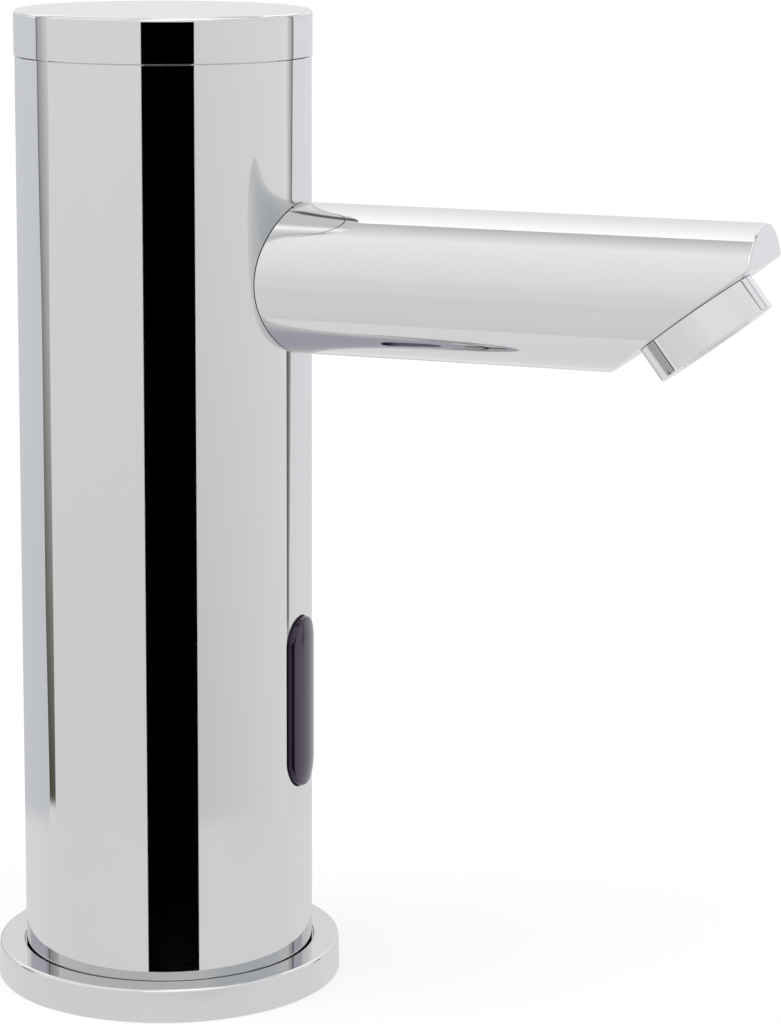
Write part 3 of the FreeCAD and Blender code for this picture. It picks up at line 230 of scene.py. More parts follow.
def ball_patch(name, radius, middle, sides, heights):
    """Part of a sphere round middle, seen from inside: a point is middle + radius times the
    direction of each side angle and height angle, in degrees, and its normal points inwards."""
    side, height = np.radians(np.meshgrid(sides, heights))
    ray = np.stack([np.cos(side) * np.cos(height), np.sin(side) * np.cos(height),
                    np.sin(height)], -1)
    return skin(name, [(np.array(middle) + radius * ray, -ray)], body=None)


# share of the light that the plate sends back
PLATE = 0.55


def grey(level, tint=(0.0, 0.0, 0.0)):
    """The light that chrome plate sends back as this level of a 0 to 255 screen."""
    value = (np.array(tint) + level) / 255.0
    return tuple(np.where(value < 0.04045, value / 12.92, ((value + 0.055) / 1.055) ** 2.4) / PLATE)


TENT_MIDDLE = (0.0, 0.0, 110.0)
TENT_RADIUS = 3000.0
LENS_SIDE = -65.97
# two roof panels, from the back (0) by the top (90) to the front (180): they meet at 75.5, where
# the back one is brightest and the front one dimmest
OVER = ((0, 180), (75.2, 255), (75.9, 180), (105, 230), (180, 210))
# two floor panels, from the front (180) by the bottom (270) to the back (360)
UNDER = ((180, 210), (239, 198), (240.5, 210), (360, 200))

studio = Finish("tent_cloth")
studio.tree.nodes.remove(studio.shader)
spot = studio.vector("SUBTRACT", studio.node("TexCoord", out=3),
                     tuple(0.001 * v for v in TENT_MIDDLE))
ray = studio.vector("NORMALIZE", spot)
split = studio.node("SeparateXYZ", {}, {0: ray})
ray_x, ray_y, ray_z = [Signal(studio, split.socket.node.outputs[i]) for i in range(3)]
roll = studio.maths("ARCTAN2", ray_z, ray_y) * (1.0 / math.pi)
over = studio.node("ValToRGB", {"stops": [(a / 180, grey(v)) for a, v in OVER]}, {0: roll})
under = studio.node("ValToRGB", {"stops": [((a - 180) / 180, grey(v)) for a, v in UNDER]},
                    {0: roll + 1.0})
cloth = studio.blend(studio.maths("GREATER_THAN", ray_z, 0.0), under, over)
# the end wall that the nose looks at is plain, with one bright softbox high up
cloth = studio.blend(studio.steps(ray_x, -0.22, -0.05) * studio.steps(ray_z, 0.02, 0.12), cloth,
                     grey(214))
lean = ray_x * math.sin(math.radians(37.25)) - ray_z * math.cos(math.radians(37.25))
softbox = studio.steps(ray_x, 0.02, 0.08) * studio.steps(lean, -0.17, -0.23)
softbox = softbox * studio.steps(ray_z, 0.41, 0.46)
cloth = studio.blend(softbox * studio.steps(lean, -0.86, -0.8), cloth, grey(253))
far_end = studio.steps(ray_x, 0.75, 0.9) * studio.steps(ray_z, 0.1, 0.2)
cloth = studio.blend(far_end, cloth, grey(203, (-4, 0, 5)))
# side angle from the lens, in degrees, positive towards the spout, and height angle
from_lens = studio.maths("ARCTAN2", ray_y, ray_x) * (180 / math.pi) - LENS_SIDE
from_lens = studio.node("Math", {"operation": "WRAP"}, {0: from_lens, 1: 180.0, 2: -180.0})
height = studio.maths("ARCSINE", ray_z) * (180 / math.pi)


def within(value, low, high, soft=0.25):
    """1 between low and high, 0 outside, with soft edges."""
    rise = studio.steps(value, low - soft, low + soft)
    fall = studio.steps(value, high - soft, high + soft)
    return rise * (1.0 - fall)


def above(start, end):
    """The same steps taken over the height angle."""
    return studio.steps(height, start, end)


# the crown of the tent, plain, with a strip lamp in front and a dark seam behind
crown = studio.blend(within(ray_y, -0.34, -0.2, 0.06), grey(240), grey(300))
crown = studio.blend(within(ray_y, 0.38, 0.53, 0.04), crown, grey(100))
cloth = studio.blend(studio.steps(ray_x, 0.0, 0.1) * studio.steps(ray_z, 0.7, 0.76), cloth, crown)
# two front panels: the left one even, the right one dimmer beside the slot than at its side
PANEL_LEFT, PANEL_RIGHT = -104.0, 111.0
front = within(from_lens, PANEL_LEFT, PANEL_RIGHT, 2.0) * above(-27.0, -24.0)
front = front * (1.0 - above(4.0, 13.0))
across = studio.steps(from_lens, PANEL_LEFT, PANEL_RIGHT)
warm = (0, 0, -1.5)
panel_low, panel_high = [studio.node("ValToRGB", {"stops": [
    (0.405, grey(left, warm)), (0.59, grey(middle, warm)), (1.0, grey(right, warm))]},
    {0: across}) for left, middle, right in ((202, 191, 208), (208, 204, 213))]
panel = studio.blend(above(-16.0, -2.0), panel_low, panel_high)
cloth = studio.blend(front, cloth, panel)
# lilac panel behind on the left, cool one behind on the right, down to the table's edge
low_back = within(height, -26.0, 0.0, 0.6)
back_rise = above(-17.0, -2.0)
lilac = studio.blend(back_rise, grey(188, (-2, 0, 4)), grey(196, (-2, 0, 4)))
lilac_end = above(-14.0, -17.5) * 2.6 - 112.5
cloth = studio.blend(within(from_lens, -181.0, lilac_end) * low_back, cloth, lilac)
cool = studio.blend(back_rise, grey(203, (-1, 0, 1)), grey(210, (-1, 0, 3)))
cloth = studio.blend(within(from_lens, PANEL_RIGHT, 181.0) * low_back, cloth, cool)
# higher up the panels behind are violet, which only shows in the collar, by way of the column
high_back = within(height, 14.0, 21.0, 1.0)
side_back = within(from_lens, -150.0, -112.0) + within(from_lens, 111.5, 134.0, 1.0)
cloth = studio.blend(high_back * side_back * 0.8, cloth, grey(178, (-5, -5, 9)))
# the upright seam between the left panels: a fold that darkens to the back, down to the table
down = above(-18.0, -2.0)
seam_dark = studio.blend(down, grey(58, (0, 2, -13)), grey(145))
seam_pale = studio.blend(down, grey(75, (0, 1, -10)), grey(200))
seam_front = above(-4.0, -8.0) * -1.8 - 99.6
seam_back = above(-7.5, -4.0) * -1.8 - 111.8 + above(-14.0, -17.5) * 2.4
fold = studio.blend(studio.steps(from_lens, seam_front, seam_back), seam_pale, seam_dark)
seam_top = 1.0 - above(20.0, 26.0)
seam = within(from_lens, seam_back, seam_front) * above(-17.95, -17.8)
cloth = studio.blend(seam * seam_top, cloth, fold)
crease = within(from_lens, seam_back - 0.4, seam_back + 1.1, 0.3) * above(-9.0, -6.0)
cloth = studio.blend(crease * seam_top, cloth, grey(108))
# the same seam nearer the floor, which only the aerator sees: dark at the front, fading back
lower_seam = within(from_lens, -170.0, -99.5) * within(height, -45.0, -24.0, 1.0)
cloth = studio.blend(lower_seam, cloth,
                     studio.blend(studio.steps(from_lens, -127.0, -101.0), grey(202), grey(40)))
# the upright seam on the right, a narrow fold that closes towards the table
FOLD_START = 108.9
right_end = above(-13.5, -3.0) * 5.9 + 112.4
fold_part = studio.steps(from_lens, FOLD_START, right_end)
high_fold = studio.blend(fold_part, grey(212), grey(128))
low_fold = studio.blend(fold_part, grey(62), grey(150))
right_fold = studio.blend(above(-8.6, -6.0), low_fold, high_fold)
fold_top = 1.0 - above(20.0, 24.0)
right_seam = within(from_lens, FOLD_START, right_end) * above(-15.0, -14.2)
cloth = studio.blend(right_seam * fold_top, cloth, right_fold)
edge = within(from_lens, right_end - 1.1, right_end + 0.3, 0.3) * above(-8.0, -5.0)
cloth = studio.blend(edge * fold_top, cloth, grey(95))
# the same seam higher up and farther back, which the aerator sees
far_seam = within(from_lens, 108.6, 113.4) * within(height, 29.0, 40.0, 1.0)
cloth = studio.blend(far_seam, cloth, grey(95))
# the table, a plain band below the tent's edge, and violet under the spout
table = 1.0 - above(-18.4, -18.0)
cloth = studio.blend(table * above(-25.0, -23.0), cloth, grey(204, (0, 0, -1)))
below = studio.steps(ray_x, 0.0, 0.2) * (1.0 - above(-26.0, -23.0))
cloth = studio.blend(below, cloth, studio.blend(above(-44.0, -36.0),
                                                grey(194, (-4, -4, 6)), grey(200)))
# a metal reflects more at a glancing look, so the tent is dimmer straight behind
behind = studio.steps(studio.maths("ABSOLUTE", from_lens), 118.0, 180.0)
cloth = studio.blend(behind * behind * low_back * 0.46, cloth, (0.0, 0.0, 0.0))
glow = studio.node("Emission", {}, {"Color": cloth, "Strength": 1.0})
studio.plug(studio.tree.nodes["Material Output"].inputs["Surface"], glow)
studio.owner.cycles.emission_sampling = "NONE"

tent = ball_patch("studio_tent", TENT_RADIUS, TENT_MIDDLE, np.linspace(-180, 180, 97),
                  np.linspace(-90, 90, 49))
# the lens slot, a painted dark reflection: black only in the column, its cap and the window, which
# the light linking at the end leaves out, and lit like the tent for every other piece
SLOT_LEFT, SLOT_RIGHT, SLOT_LOW, SLOT_TOP = -17.0, 23.1, -22.0, 3.0
slot = ball_patch("studio_slot", TENT_RADIUS * 0.96, TENT_MIDDLE,
                  LENS_SIDE + np.linspace(SLOT_LEFT, SLOT_RIGHT, 41),
                  np.linspace(SLOT_LOW, SLOT_TOP, 26))
# a wider patch round the slot, a painted dark reflection for the window alone: black there, and lit
# like the tent for every other piece
window_shade = ball_patch("studio_sill", TENT_RADIUS * 0.985, TENT_MIDDLE,
                  LENS_SIDE + np.linspace(-70.0, 83.0, 77), np.linspace(-40.0, 8.0, 33))
studio.wear(tent, slot, window_shade)

# The floor is white paper that takes a soft shadow where the tap stands.
floor_mesh = bpy.data.meshes.new("studio_floor")
floor_mesh.from_pydata([(-4, -4, -1e-4), (4, -4, -1e-4), (4, 4, -1e-4), (-4, 4, -1e-4)], [],
                       [(0, 1, 2, 3)])
floor = bpy.data.objects.new("studio_floor", floor_mesh)
bpy.context.scene.collection.objects.link(floor)
paper = Finish("floor_paper", Base_Color=(0.93, 0.93, 0.93, 1.0), Roughness=0.9)
paper.shader.inputs["Specular IOR Level"].default_value = 0.0
white = paper.node("Emission", {}, {"Color": (1.0, 1.0, 1.0, 1.0), "Strength": 1.0})
seen = paper.node("LightPath", {}, out=0)
away = paper.steps(paper.node("VectorMath", {"operation": "LENGTH"},
                              {0: paper.node("TexCoord", out=3)}, out=1), 0.06, 0.22)
mixed = paper.node("MixShader", {}, {0: seen * (away * 0.3 + 0.7),
                                     1: Signal(paper, paper.shader.outputs[0]), 2: white})
paper.plug(paper.tree.nodes["Material Output"].inputs["Surface"], mixed)
paper.owner.cycles.emission_sampling = "NONE"
paper.wear(floor)
for cover in (tent, slot, window_shade):
    cover.visible_camera = cover.visible_diffuse = cover.visible_shadow = False
    cover.visible_transmission = cover.visible_volume_scatter = False
floor.visible_glossy = False

world = bpy.data.worlds.new("white_room")
bpy.context.scene.world = world
room = Finish("white_room", owner=world)
path = room.node("LightPath", {})
seen = [Signal(room, path.socket.node.outputs[k]) for k in ("Is Camera Ray", "Is Glossy Ray",
                                                            "Is Transmission Ray")]
straight = room.maths("MINIMUM", seen[0] + seen[1] + seen[2], 1.0)
room.give("Color", (1.0, 1.0, 1.0, 1.0))
room.give("Strength", straight * 0.45 + 0.55)

for name, spot_at, turn, size, power in (
        ("lamp_over", (0.0, -0.15, 1.25), (8, 0, 0), 1.2, 9.0),
        ("lamp_left", (-1.0, -0.8, 0.6), (68, 0, -52), 0.9, 5.0),
        ("lamp_right", (1.1, -0.5, 0.5), (72, 0, 66), 0.9, 5.0)):
    light = bpy.data.lights.new(name, "AREA")
    light.shape = "DISK"
    light.size = size
    light.energy = power
    lamp = bpy.data.objects.new(name, light)
    lamp.location = spot_at
    lamp.rotation_euler = [math.radians(a) for a in turn]
    lamp.visible_glossy = False
    bpy.context.scene.collection.objects.link(lamp)


# ---------------------------------------------------------------- column
# The column is a length of drawn brass tube, 56 mm outside, with a stadium window cut for the
# sensor and a round hole for the spout. It is polished, then plated with nickel and chrome.
def rounded(corners, steps=6):
    """A closed outline walked with the metal on the left. A corner is (x, y) or (x, y, radius),
    and a radius makes it an arc that touches both sides. Gives runs, each with its points and
    the normals on the right of the walk: corner 0's arc, side 0, corner 1's arc, side 1 and on."""
    spot = np.array([c[:2] for c in corners], float)
    size = np.array([c[2] if len(c) > 2 else 0.0 for c in corners])
    way = np.roll(spot, -1, axis=0) - spot
    way = way / np.linalg.norm(way, axis=1, keepdims=True)
    out = np.stack([way[:, 1], -way[:, 0]], axis=1)
    came = np.roll(way, 1, axis=0)
    turn = np.arctan2(came[:, 0] * way[:, 1] - came[:, 1] * way[:, 0], (came * way).sum(axis=1))
    cut = size * np.tan(np.abs(turn) / 2)
    runs = []
    for i in range(len(corners)):
        if size[i]:
            angle = turn[i] * np.linspace(0, 1, steps + 1)
            side = np.sign(turn[i])
            n0 = out[i - 1]
            normal = np.stack([n0[0] * np.cos(angle) - n0[1] * np.sin(angle),
                               n0[0] * np.sin(angle) + n0[1] * np.cos(angle)], axis=1)
            centre = spot[i] - came[i] * cut[i] - n0 * size[i] * side
            runs.append((centre + normal * size[i] * side, normal))
        j = (i + 1) % len(corners)
        side = np.stack([spot[i] + way[i] * cut[i], spot[j] - way[i] * cut[j]])
        runs.append((side, np.stack([out[i], out[i]])))
    return runs


AXES = np.eye(3)


def turned(runs, angles, axes=AXES, middle=(0.0, 0.0, 0.0)):
    """Outline runs turned about an axis: each point (radius, height) goes to middle + radius
    (cos a of the first axis + sin a of the second) + height of the third."""
    turn = np.radians(angles)[None, :, None]
    ring = np.cos(turn) * axes[0] + np.sin(turn) * axes[1]
    return [(np.array(middle) + p[:, :1, None] * ring + p[:, 1:, None] * axes[2],
             n[:, :1, None] * ring + n[:, 1:, None] * axes[2]) for p, n in runs]


COLUMN_R, COLUMN_WALL, COLUMN_TOP = 28.0, 2.5, 179.0
COLUMN_ROUND = 0.03
WINDOW_Z, WINDOW_R, WINDOW_HALF = 56.05, 5.35, 11.25
SPOUT_Z, SPOUT_HOLE_R = 138.0, 12.8
# facing angle, height, radius, half length, round of the lip, half width of the patch in
# degrees, half height of the patch
OPENINGS = ((0, WINDOW_Z, WINDOW_R, WINDOW_HALF, 0.5, 20, 21.0),
            (0, SPOUT_Z, SPOUT_HOLE_R, 0.0, 0.25, 36, 17.0),
            (60, 3.2, 1.65, 0.0, 0.25, 6, 2.4), (180, 3.2, 1.65, 0.0, 0.25, 6, 2.4),
            (300, 3.2, 1.65, 0.0, 0.25, 6, 2.4))


def pierced(radius, levels, angles, openings, outer, facing):
    """Tube wall of the given radius with its openings. The wall is a grid of angles and levels,
    less a rectangle round each opening. A patch fills the rectangle: each of its edge points,
    seen flat, has a nearest point on the opening's middle line, and the patch runs straight
    towards it, down to the opening's radius from that line."""
    turn = np.radians(angles)
    ring = np.stack([np.cos(turn), np.sin(turn), 0 * turn], -1)
    points = radius * ring[None] + np.array(levels)[:, None, None] * AXES[2]
    mid_a = (angles[:-1] + angles[1:]) / 2
    mid_z = (np.array(levels)[:-1] + np.array(levels)[1:]) / 2
    keep = np.ones((len(levels) - 1, len(angles) - 1), bool)
    sheets = []
    for at, z0, r, half, lip, wide, tall in openings:
        keep &= ~((np.abs(mid_a[None] - at) < wide) & (np.abs(mid_z[:, None] - z0) < tall))
        across = angles[np.abs(angles - at) <= wide + 1e-6] - at
        up = np.array([z for z in levels if abs(z - z0) <= tall + 1e-6]) - z0
        edge_a = np.concatenate([across, 0 * up[1:] + wide, across[::-1][1:], 0 * up[1:] - wide])
        edge_z = np.concatenate([0 * across - tall, up[1:], 0 * across[1:] + tall, up[::-1][1:]])
        flat_y = outer * np.sin(np.radians(edge_a))
        middle = np.clip(edge_z, -half, half)
        way = np.stack([flat_y, edge_z - middle], 1)
        way = way / np.linalg.norm(way, axis=1, keepdims=True)
        lip = lip if facing > 0 else 0.0
        rim_a = np.degrees(np.arcsin((r + lip) * way[:, 0] / radius))
        rim_z = middle + (r + lip) * way[:, 1]
        part = np.linspace(0, 1, 9)[:, None]
        a = np.radians(at + edge_a * (1 - part) + rim_a * part)
        z = z0 + edge_z * (1 - part) + rim_z * part
        normal = np.stack([np.cos(a), np.sin(a), 0 * a], -1)
        sheets.append((radius * normal + z[..., None] * AXES[2], normal * facing))
        if facing < 0:
            continue
        # the round of the outer lip, then the straight wall of the hole
        face = np.radians(at)
        out, side = (np.array([np.cos(face), np.sin(face), 0]),
                     np.array([-np.sin(face), np.cos(face), 0]))
        inwards = -(way[None, :, :1] * side + way[None, :, 1:] * AXES[2])
        bend = np.radians(np.linspace(0, 90, 6))[:, None]
        reach = r + lip * (1 - np.sin(bend))
        y, z = reach * way[:, 0], z0 + middle + reach * way[:, 1]
        wall_x = np.sqrt(radius ** 2 - y ** 2)
        x = wall_x - lip * (1 - np.cos(bend))
        wall = (wall_x / radius)[..., None] * out + (y / radius)[..., None] * side
        sheets.append((x[..., None] * out + y[..., None] * side + z[..., None] * AXES[2],
                       wall * np.cos(bend)[..., None] + inwards * np.sin(bend)[..., None]))
        y, z = np.stack([r * way[:, 0]] * 2), np.stack([z0 + middle + r * way[:, 1]] * 2)
        inner = radius - COLUMN_WALL
        x = np.stack([np.sqrt(radius ** 2 - y[0] ** 2) - lip, np.sqrt(inner ** 2 - y[1] ** 2)])
        sheets.append((x[..., None] * out + y[..., None] * side + z[..., None] * AXES[2], inwards))
    sheets.insert(0, (points, facing * ring, keep))
    return sheets


def plating(name, streak, bright=1.0, bore=0.0):
    """Polished chrome plate: almost a mirror. The buffing leaves a faint long-grained haze, and
    the plate a trace of orange peel that only shows at a glancing look. Nearer to the
    upright axis than bore, in millimetres, the plate did not take, and the brass is bare."""
    chrome = Finish(name, Metallic=1.0)
    grain = chrome.noise(chrome.place(streak), 1.0, 4.0, 0.6)
    cloud = chrome.noise(chrome.place(), 38.0, 2.0)
    plate = chrome.blend(cloud, tuple(v * bright for v in (0.541, 0.543, 0.548)),
                         tuple(v * bright for v in (0.556, 0.558, 0.561)))
    gloss = grain * 0.022 + cloud * 0.014 + 0.012
    if bore:
        reach = chrome.node("VectorMath", {"operation": "LENGTH"},
                            {0: chrome.place((1.0, 1.0, 0.0))}, out=1)
        bare = 1.0 - chrome.steps(reach, 0.001 * bore, 0.001 * bore + 0.0002)
        brass = chrome.blend(cloud, (0.6, 0.46, 0.25), (0.5, 0.37, 0.19))
        plate, gloss = chrome.blend(bare, plate, brass), gloss + bare * 0.42
    chrome.give("Base Color", plate)
    chrome.give("Roughness", gloss)
    peel = chrome.noise(chrome.place(), 420.0, 1.0)
    chrome.relief(peel, 1.2e-7)
    return chrome


round_angles = np.arange(-150.0, 210.1, 2.0)
levels = np.unique(np.round(np.concatenate([
    [0.0], np.linspace(0.8, 5.6, 7), np.linspace(WINDOW_Z - 21.0, WINDOW_Z + 21.0, 31), [99.0],
    np.linspace(121, 155, 25), [COLUMN_TOP - COLUMN_ROUND, COLUMN_TOP]]), 6))
inner_r = COLUMN_R - COLUMN_WALL
rim = rounded([(inner_r, 0), (COLUMN_R, 0), (COLUMN_R, COLUMN_TOP, COLUMN_ROUND),
               (inner_r, COLUMN_TOP)])
chrome_column = plating("chrome_column", (260.0, 260.0, 9.0), bore=inner_r + 0.3)
column = skin("column",
              pierced(COLUMN_R, levels[:-1], round_angles, OPENINGS, COLUMN_R, 1.0)
              + pierced(inner_r, levels, round_angles, OPENINGS, COLUMN_R, -1.0)
              + turned([rim[0], rim[2], rim[3]], round_angles),
              chrome_column, replaces=["body_tube"])


# ---------------------------------------------------------------- foot and base ring
# The foot is a turned brass boss that stands on the basin, tapped for the fixing stud. Three
# grub screws hold the column to it, a rubber gasket seals it, and a loose chromed ring hides it.
def turned_brass(name, tone=(0.74, 0.56, 0.27), pitch=4200.0):
    """Turned brass: fine tool rings round the axis, and a duller film here and there."""
    brass = Finish(name, Metallic=1.0)
    film = brass.noise(brass.place(), 110.0, 4.0)
    tool = brass.node("TexWave", {"wave_type": "RINGS", "rings_direction": "Z"},
                      {"Vector": brass.place(), "Scale": pitch / 20, "Distortion": 0.35,
                       "Detail": 2.0, "Detail Scale": 3.0})
    tool = Signal(brass, tool.socket.node.outputs["Fac"])
    dull = tuple(v * 0.78 for v in tone)
    brass.give("Base Color", brass.blend(film, tone, dull))
    brass.give("Roughness", film * 0.22 + tool * 0.05 + 0.2)
    brass.relief(tool, 8e-6)
    return brass


def black_rubber(name, sheen=0.62):
    """Moulded black rubber, with a fine matt skin and a little pale bloom."""
    rubber = Finish(name)
    skin_noise = rubber.noise(rubber.place(), 2600.0, 3.0)
    bloom = rubber.noise(rubber.place(), 160.0, 3.0)
    rubber.give("Base Color", rubber.blend(bloom, (0.018, 0.018, 0.019), (0.05, 0.05, 0.052)))
    rubber.give("Roughness", skin_noise * 0.16 + sheen)
    rubber.relief(skin_noise, 2.5e-5)
    return rubber


def plain_steel(name, scale=(900.0, 900.0, 60.0), tone=(0.6, 0.6, 0.62), base=0.2):
    """Stainless steel with drawn or rolled grain along one way."""
    steel = Finish(name, Metallic=1.0)
    grain = steel.noise(steel.place(scale), 1.0, 4.0, 0.65)
    patch = steel.noise(steel.place(), 210.0, 3.0)
    steel.give("Base Color", steel.blend(patch, tone, tuple(v * 0.82 for v in tone)))
    steel.give("Roughness", grain * 0.24 + base)
    steel.relief(grain, 6e-6)
    return steel


foot_brass = turned_brass("turned_brass_foot")
foot_brass.wear(nodes["foot"])
gasket_rubber = black_rubber("gasket_rubber")
gasket_rubber.wear(nodes["deck_gasket"])
plain_steel("screw_steel", (700.0, 700.0, 700.0)).wear(
    nodes["foot_screws"], nodes["bracket_screw"], nodes["sensor_screws"], nodes["inlet_screws"],
    nodes["valve_screws"], nodes["bonnet_screws"], nodes["carrier_screws"], nodes["tray_screws"])

RING_IN_R, RING_OUT_R, RING_TOP_R, RING_H = 28.3, 33.4, 33.2, 6.4
ring_outline = rounded([(RING_IN_R, 0), (RING_OUT_R, 0, 0.15), (RING_TOP_R, RING_H, 0.6),
                        (RING_IN_R, RING_H, 0.25)])
fine_angles = np.linspace(0, 360, 241)
chrome_ring = plating("chrome_ring", (300.0, 300.0, 40.0))
skin("base_collar", turned(ring_outline, fine_angles), chrome_ring, replaces=["base_ring"])


# ---------------------------------------------------------------- cap
# The cap is a turned and plated lid. Its skirt slides in the column on a rubber ring, and it
# lifts off to change the cells.
CAP_R, CAP_TOP, CAP_UNDER = 28.15, 187.7, 179.2
CAP_SKIRT_R, CAP_BORE_R, CAP_SKIRT_Z = 25.4, 22.5, 172.7
GROOVE_R, GROOVE_LOW, GROOVE_HIGH = 23.6, 175.0, 177.0
cap_outline = rounded([
    (0, 184.2), (CAP_BORE_R, 184.2, 0.5), (CAP_BORE_R, CAP_SKIRT_Z, 0.3),
    (CAP_SKIRT_R, CAP_SKIRT_Z, 0.3), (CAP_SKIRT_R, GROOVE_LOW, 0.1), (GROOVE_R, GROOVE_LOW, 0.2),
    (GROOVE_R, GROOVE_HIGH, 0.2), (CAP_SKIRT_R, GROOVE_HIGH, 0.1), (CAP_SKIRT_R, CAP_UNDER),
    (CAP_R, CAP_UNDER, 0.03), (CAP_R, CAP_TOP, 0.9), (0, CAP_TOP)], steps=8)
chrome_cap = plating("chrome_cap", (300.0, 300.0, 30.0))
cap = skin("cap_lid", turned(cap_outline[:-1], fine_angles), chrome_cap, body="cap",
           replaces=["cap"])
ring_rubber = black_rubber("seal_rubber", 0.4)
ring_rubber.wear(nodes["cap_o_ring"])


# ---------------------------------------------------------------- spout
# The spout is a thick brass tube, mitred to sit on the column and cut off slanting for the
# aerator, whose thread is tapped in the slant. All outside edges are eased before plating.
SPOUT_R, SPOUT_BORE_R, SPOUT_BORE_END = 14.2, 12.7, 85.0
SEAT_R, SEAT_END, PASSAGE_R = 5.1, 91.0, 3.5
SADDLE_R = 28.15
FOOT_X, FOOT_Z = 89.2, SPOUT_Z - SPOUT_R
SLANT = math.radians(37.25)
NOSE_X, NOSE_R, NOSE_Z = 117.1, 1.2, 145.61
EDGE = 0.33
THREAD_AT, THREAD_R, THREAD_DEEP, THREAD_PITCH = 19.15, 11.0, 8.0, 1.0
# the eye in the thread's floor: an oval, off the thread's middle
EYE_OFF, EYE_TALL, EYE_WIDE = 5.2, 4.6, 3.3
slant_axes = np.array([(-math.cos(SLANT), 0, -math.sin(SLANT)), (0, 1, 0),
                       (math.sin(SLANT), 0, -math.cos(SLANT))])
slant_up = -slant_axes[0]
slant_foot = np.array([FOOT_X, 0, FOOT_Z])
mouth = slant_foot + THREAD_AT * slant_up


def facet(z, inset):
    """Where the end's outline, moved in by inset, is at height z, and the way it faces there:
    the slant, then the arc of the nose, then the upright face."""
    slope_x = FOOT_X + ((z - FOOT_Z) * math.cos(SLANT) - inset) / math.sin(SLANT)
    centre_x, bend = NOSE_X - NOSE_R, NOSE_R - inset
    start_z = NOSE_Z - bend * math.cos(SLANT)
    arc_x = centre_x + np.sqrt(np.maximum(bend ** 2 - (z - NOSE_Z) ** 2, 0))
    x = np.where(z <= start_z, slope_x, np.where(z <= NOSE_Z, arc_x, NOSE_X - inset))
    arc = np.stack([(arc_x - centre_x) / bend, 0 * z, (z - NOSE_Z) / bend], -1)
    face = np.where((z <= start_z)[..., None], slant_axes[2],
                    np.where((z <= NOSE_Z)[..., None], arc, AXES[0]))
    return x, face


inner = SPOUT_R - EDGE
chord_z = NOSE_Z - (NOSE_R - EDGE) * math.cos(SLANT)
chord_turn = math.degrees(math.asin((chord_z - SPOUT_Z) / inner))
flat_turn = math.degrees(math.asin((NOSE_Z - SPOUT_Z) / inner))
half_turn = np.unique(np.round(np.concatenate([
    np.arange(-90, chord_turn, 2.0), np.linspace(chord_turn, flat_turn, 6),
    np.arange(flat_turn, 90, 2.0), [90.0]]), 9))
spout_turn = np.concatenate([half_turn, (180 - half_turn[::-1])[1:]])
turn = np.radians(spout_turn)
tube_n = np.stack([0 * turn, np.cos(turn), np.sin(turn)], -1)
quoin_z = SPOUT_Z + inner * np.sin(turn)
quoin_x, face_n = facet(quoin_z, EDGE)
quoin = np.stack([quoin_x, inner * np.cos(turn), quoin_z], -1)
along = np.linspace(0, 1, 12)[:, None]
saddle_x = np.sqrt(SADDLE_R ** 2 - (SPOUT_R * np.cos(turn)) ** 2)
wall_x = saddle_x * (1 - along) + quoin_x * along
spout_wall = np.broadcast_to(SPOUT_R * tube_n, (12, len(turn), 3)) + [0, 0, SPOUT_Z]
spout_wall = spout_wall + wall_x[..., None] * AXES[0]
spread = np.arccos(np.clip((tube_n * face_n).sum(axis=1), -1, 1))[None, :, None]
share = np.linspace(0, 1, 7)[:, None, None]
eased_n = (np.sin((1 - share) * spread) * tube_n + np.sin(share * spread) * face_n) / np.sin(spread)
spout_edge = quoin + EDGE * eased_n
edge_end = spout_edge[-1]
upper = half_turn >= chord_turn - 1e-6
right_side = edge_end[:len(half_turn)][upper]
left_side = right_side * [1, -1, 1]
face_side = face_n[:len(half_turn)][upper]
cross = np.linspace(0, 1, 15)[None, :, None]
nose_face = right_side[:, None] * (1 - cross) + left_side[:, None] * cross
rim_line = np.concatenate([edge_end[spout_turn >= 180 - chord_turn - 1e-6],
                           edge_end[spout_turn <= chord_turn + 1e-6], nose_face[0][1:]])
local = (rim_line - mouth) @ slant_axes.T
radial = local[:, :2] / np.linalg.norm(local[:, :2], axis=1, keepdims=True)
bore_line = mouth + THREAD_R * radial @ slant_axes[:2]
part = np.linspace(0, 1, 4)[:, None, None]
slant_face = bore_line * (1 - part) + rim_line * part


def threaded(radius, rise, start, end, around, sign, taper=0.8):
    """Screw thread round the slant's third axis: the radius plus a rise that goes up and down
    once a pitch, carried round by one pitch a turn and fading out at both ends."""
    depth = np.linspace(start, end, int(round(abs(end - start) * 8)) + 1)[:, None]
    phase = depth / THREAD_PITCH - around / (2 * math.pi)
    ridge = np.abs((phase % 1.0) - 0.5) * 2
    fade = np.clip(np.minimum(np.abs(depth - start), np.abs(depth - end)) / taper, 0, 1)
    reach = radius + rise * ridge * fade
    ring = np.cos(around)[:, None] * slant_axes[0] + np.sin(around)[:, None] * slant_axes[1]
    return mouth + reach[..., None] * ring + depth[..., None] * slant_axes[2], sign * ring


around = np.unwrap(np.arctan2(radial[:, 1], radial[:, 0]))
bore_thread = threaded(THREAD_R, 0.3, 0.0, -THREAD_DEEP, around, -1.0)
seat_middle = mouth - THREAD_DEEP * slant_axes[2]
ring_dir = np.cos(around)[:, None] * slant_axes[0] + np.sin(around)[:, None] * slant_axes[1]
eye = (seat_middle + EYE_OFF * slant_axes[0] + EYE_TALL * np.cos(around)[:, None] * slant_axes[0]
       + EYE_WIDE * np.sin(around)[:, None] * slant_axes[1])
thread_floor = np.stack([seat_middle + THREAD_R * ring_dir, eye])
seat_ring, seat_rim = [np.stack([np.full(len(around), SEAT_END), r * np.sin(around),
                                 SPOUT_Z + r * np.cos(around)], -1) for r in (PASSAGE_R, SEAT_R)]
passage = np.stack([eye, seat_ring])
to_axis = np.stack([0 * around, -np.sin(around), -np.cos(around)], -1)


def pipe(radius, start, end, facing):
    """Plain tube along the spout, from start to end, each a number or one for each angle."""
    x = np.stack([start + 0 * turn, end + 0 * turn])
    return x[..., None] * AXES[0] + radius * tube_n + [0, 0, SPOUT_Z], facing * tube_n


